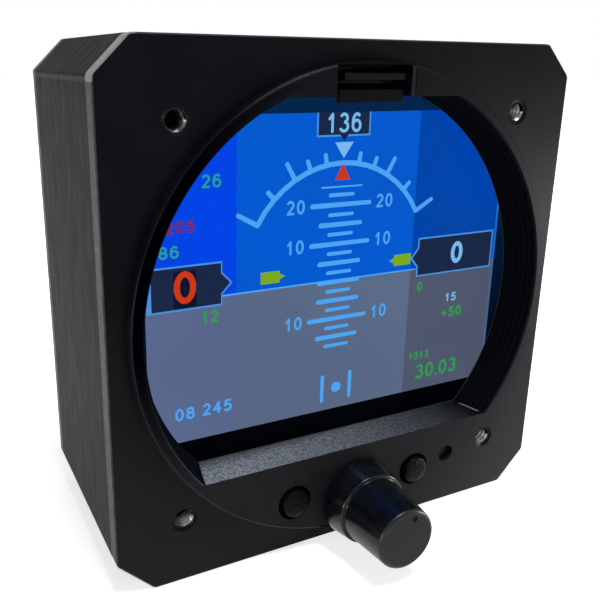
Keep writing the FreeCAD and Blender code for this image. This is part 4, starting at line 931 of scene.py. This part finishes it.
def thread_holes(finishes):
    """Bare thread in each panel hole: one winding ridge, copied to the four places."""
    deselect()
    bpy.ops.mesh.primitive_circle_add(vertices=3, radius=RIDGE_RADIUS * MM, fill_type="NOTHING",
                                      rotation=(math.radians(90), math.radians(-90), 0),
                                      location=((HOLE_RADIUS - RIDGE_INSET) * MM, 0, 0))
    ridge = bpy.context.object
    bpy.ops.object.transform_apply(location=True, rotation=True, scale=True)
    ridge.scale = (1, 1, RIDGE_WIDENING)
    bpy.ops.object.transform_apply(scale=True)
    bpy.ops.object.modifier_add(type="SCREW")
    winding = ridge.modifiers[-1]
    winding.axis = "Z"
    winding.screw_offset = THREAD_PITCH * MM
    winding.iterations = THREAD_TURNS
    winding.steps = 40
    winding.use_smooth_shade = False
    bpy.ops.object.modifier_apply(modifier=winding.name)
    bpy.ops.object.mode_set(mode="EDIT")
    bpy.ops.mesh.select_all(action="SELECT")
    bpy.ops.mesh.fill_holes(sides=3)
    bpy.ops.mesh.select_all(action="SELECT")
    bpy.ops.mesh.normals_make_consistent(inside=False)
    bpy.ops.object.mode_set(mode="OBJECT")
    places = [(x, z) for x in (-HOLE_PLACE, HOLE_PLACE) for z in (-HOLE_PLACE, HOLE_PLACE)]
    copies = [ridge]
    for _ in places[1:]:
        take(ridge)
        bpy.ops.object.duplicate(linked=False)
        copies.append(bpy.context.object)
    for number, (copy, (x, z)) in enumerate(zip(copies, places), 1):
        stand_up(copy, (x, THREAD_START, z), tilt=-90)
        hand_over(copy, f"hole_thread_{number}", "housing", finishes["thread"])


def print_border():
    """Black print on the glass round the lit area, just in front of the cell."""
    deselect()
    bpy.ops.mesh.primitive_circle_add(vertices=128, radius=GLASS_HIGH.x - PRINT_MARGIN,
                                      fill_type="NGON")
    piece = bpy.context.object
    bpy.ops.object.mode_set(mode="EDIT")
    for height, outward in ((GLASS_HIGH.z - PRINT_MARGIN, 1), (GLASS_LOW.z + PRINT_MARGIN, -1)):
        bpy.ops.mesh.select_all(action="SELECT")
        bpy.ops.mesh.bisect(plane_co=(0, height, 0), plane_no=(0, outward, 0), clear_outer=True,
                            use_fill=False)
    bpy.ops.object.mode_set(mode="OBJECT")
    thicken(piece)
    place_flat(piece, 0, 0, 0)
    hand_over(piece, "glass_print", "housing", black_glass_print())


def soft_lamp(name, place, target, size, power):
    """Soft rectangular lamp that looks at a target; sizes are in metres and the power in watts."""
    bpy.ops.object.light_add(type="AREA", location=place)
    light = bpy.context.object
    light.name = name
    light.data.shape = "RECTANGLE"
    light.data.size, light.data.size_y = size
    light.data.energy = power
    light.rotation_euler = (Vector(target) - Vector(place)).to_track_quat("-Z", "Y").to_euler()


def seen_by_eye(tree):
    """One where the camera sees the surface, by itself, in a mirror or through glass."""
    path = add(tree, "LightPath", {}).node.outputs
    return largest(tree, path["Is Camera Ray"], path["Is Glossy Ray"], path["Is Transmission Ray"])


def studio():
    """Pale floor, soft lamps, even light from all round and the camera."""
    bpy.ops.mesh.primitive_plane_add(size=8.0, location=(0, 0, FLOOR_Z - 0.02 * MM))
    floor = bpy.context.object
    floor.name = "floor"
    material, tree = new_material("pale_floor")
    # White far away; near the object the floor's own light gives way to the lamps and the shadow
    place = add(tree, "TexCoord", {}, "Object")
    away = add(tree, "VectorMath", {0: place}, "Value", operation="LENGTH")
    level = add(tree, "MapRange", {"Value": away, "From Min": 80 * MM, "From Max": 350 * MM,
                                   "To Min": 0.65, "To Max": 1.0})
    strength = add(tree, "Math", {0: seen_by_eye(tree), 1: level}, operation="MULTIPLY")
    paint = add(tree, "BsdfDiffuse", {"Color": "#E8E8E8"})
    fill = add(tree, "Emission", {"Color": "#FFFFFF", "Strength": strength})
    add(tree, "OutputMaterial", {"Surface": add(tree, "AddShader", {0: paint, 1: fill})})
    floor.data.materials.append(material)

    world = bpy.data.worlds.new("even_light")
    bpy.context.scene.world = world
    world.use_nodes = True
    tree = world.node_tree
    tree.nodes.clear()
    level = add(tree, "MapRange", {"Value": seen_by_eye(tree), "To Min": 0.3, "To Max": 1.0})
    sky = add(tree, "Background", {"Color": "#FFFFFF", "Strength": level})
    add(tree, "OutputWorld", {"Surface": sky})

    soft_lamp("overhead", (0.04, -0.14, 0.60), (0, 0, 0), (0.22, 0.22), 4.0)
    soft_lamp("low_right", (0.170, -0.070, -0.018), (0.03, 0, -0.03), (0.06, 0.03), 0.24)
    soft_lamp("low_left", (-0.30, -0.03, -0.025), (-0.04, 0.02, -0.02), (0.16, 0.03), 0.42)
    soft_lamp("front_left", (-0.22, -0.36, -0.01), (0, 0, -0.03), (0.16, 0.04), 0.3)

    bpy.ops.object.camera_add(location=CAMERA_PLACE)
    camera = bpy.context.object
    turn = (Matrix.Rotation(CAMERA_HEADING, 4, "Z") @ Matrix.Rotation(CAMERA_TILT, 4, "X")
            @ Matrix.Rotation(CAMERA_ROLL, 4, "Z"))
    camera.rotation_euler = turn.to_euler()
    camera.data.lens = CAMERA_LENS
    camera.data.shift_x = CAMERA_SHIFT_X
    camera.data.shift_y = CAMERA_SHIFT_Y
    camera.data.clip_start = 0.005
    camera.data.clip_end = 20
    bpy.context.scene.camera = camera
    bpy.context.scene.view_settings.view_transform = "Standard"


studio()
finishes = make_materials()
dress_nodes(finishes)
turn_knob(finishes)
turn_buttons(finishes)
bar_under_card(finishes)
print_border()
draw_picture()
thread_holes(finishes)
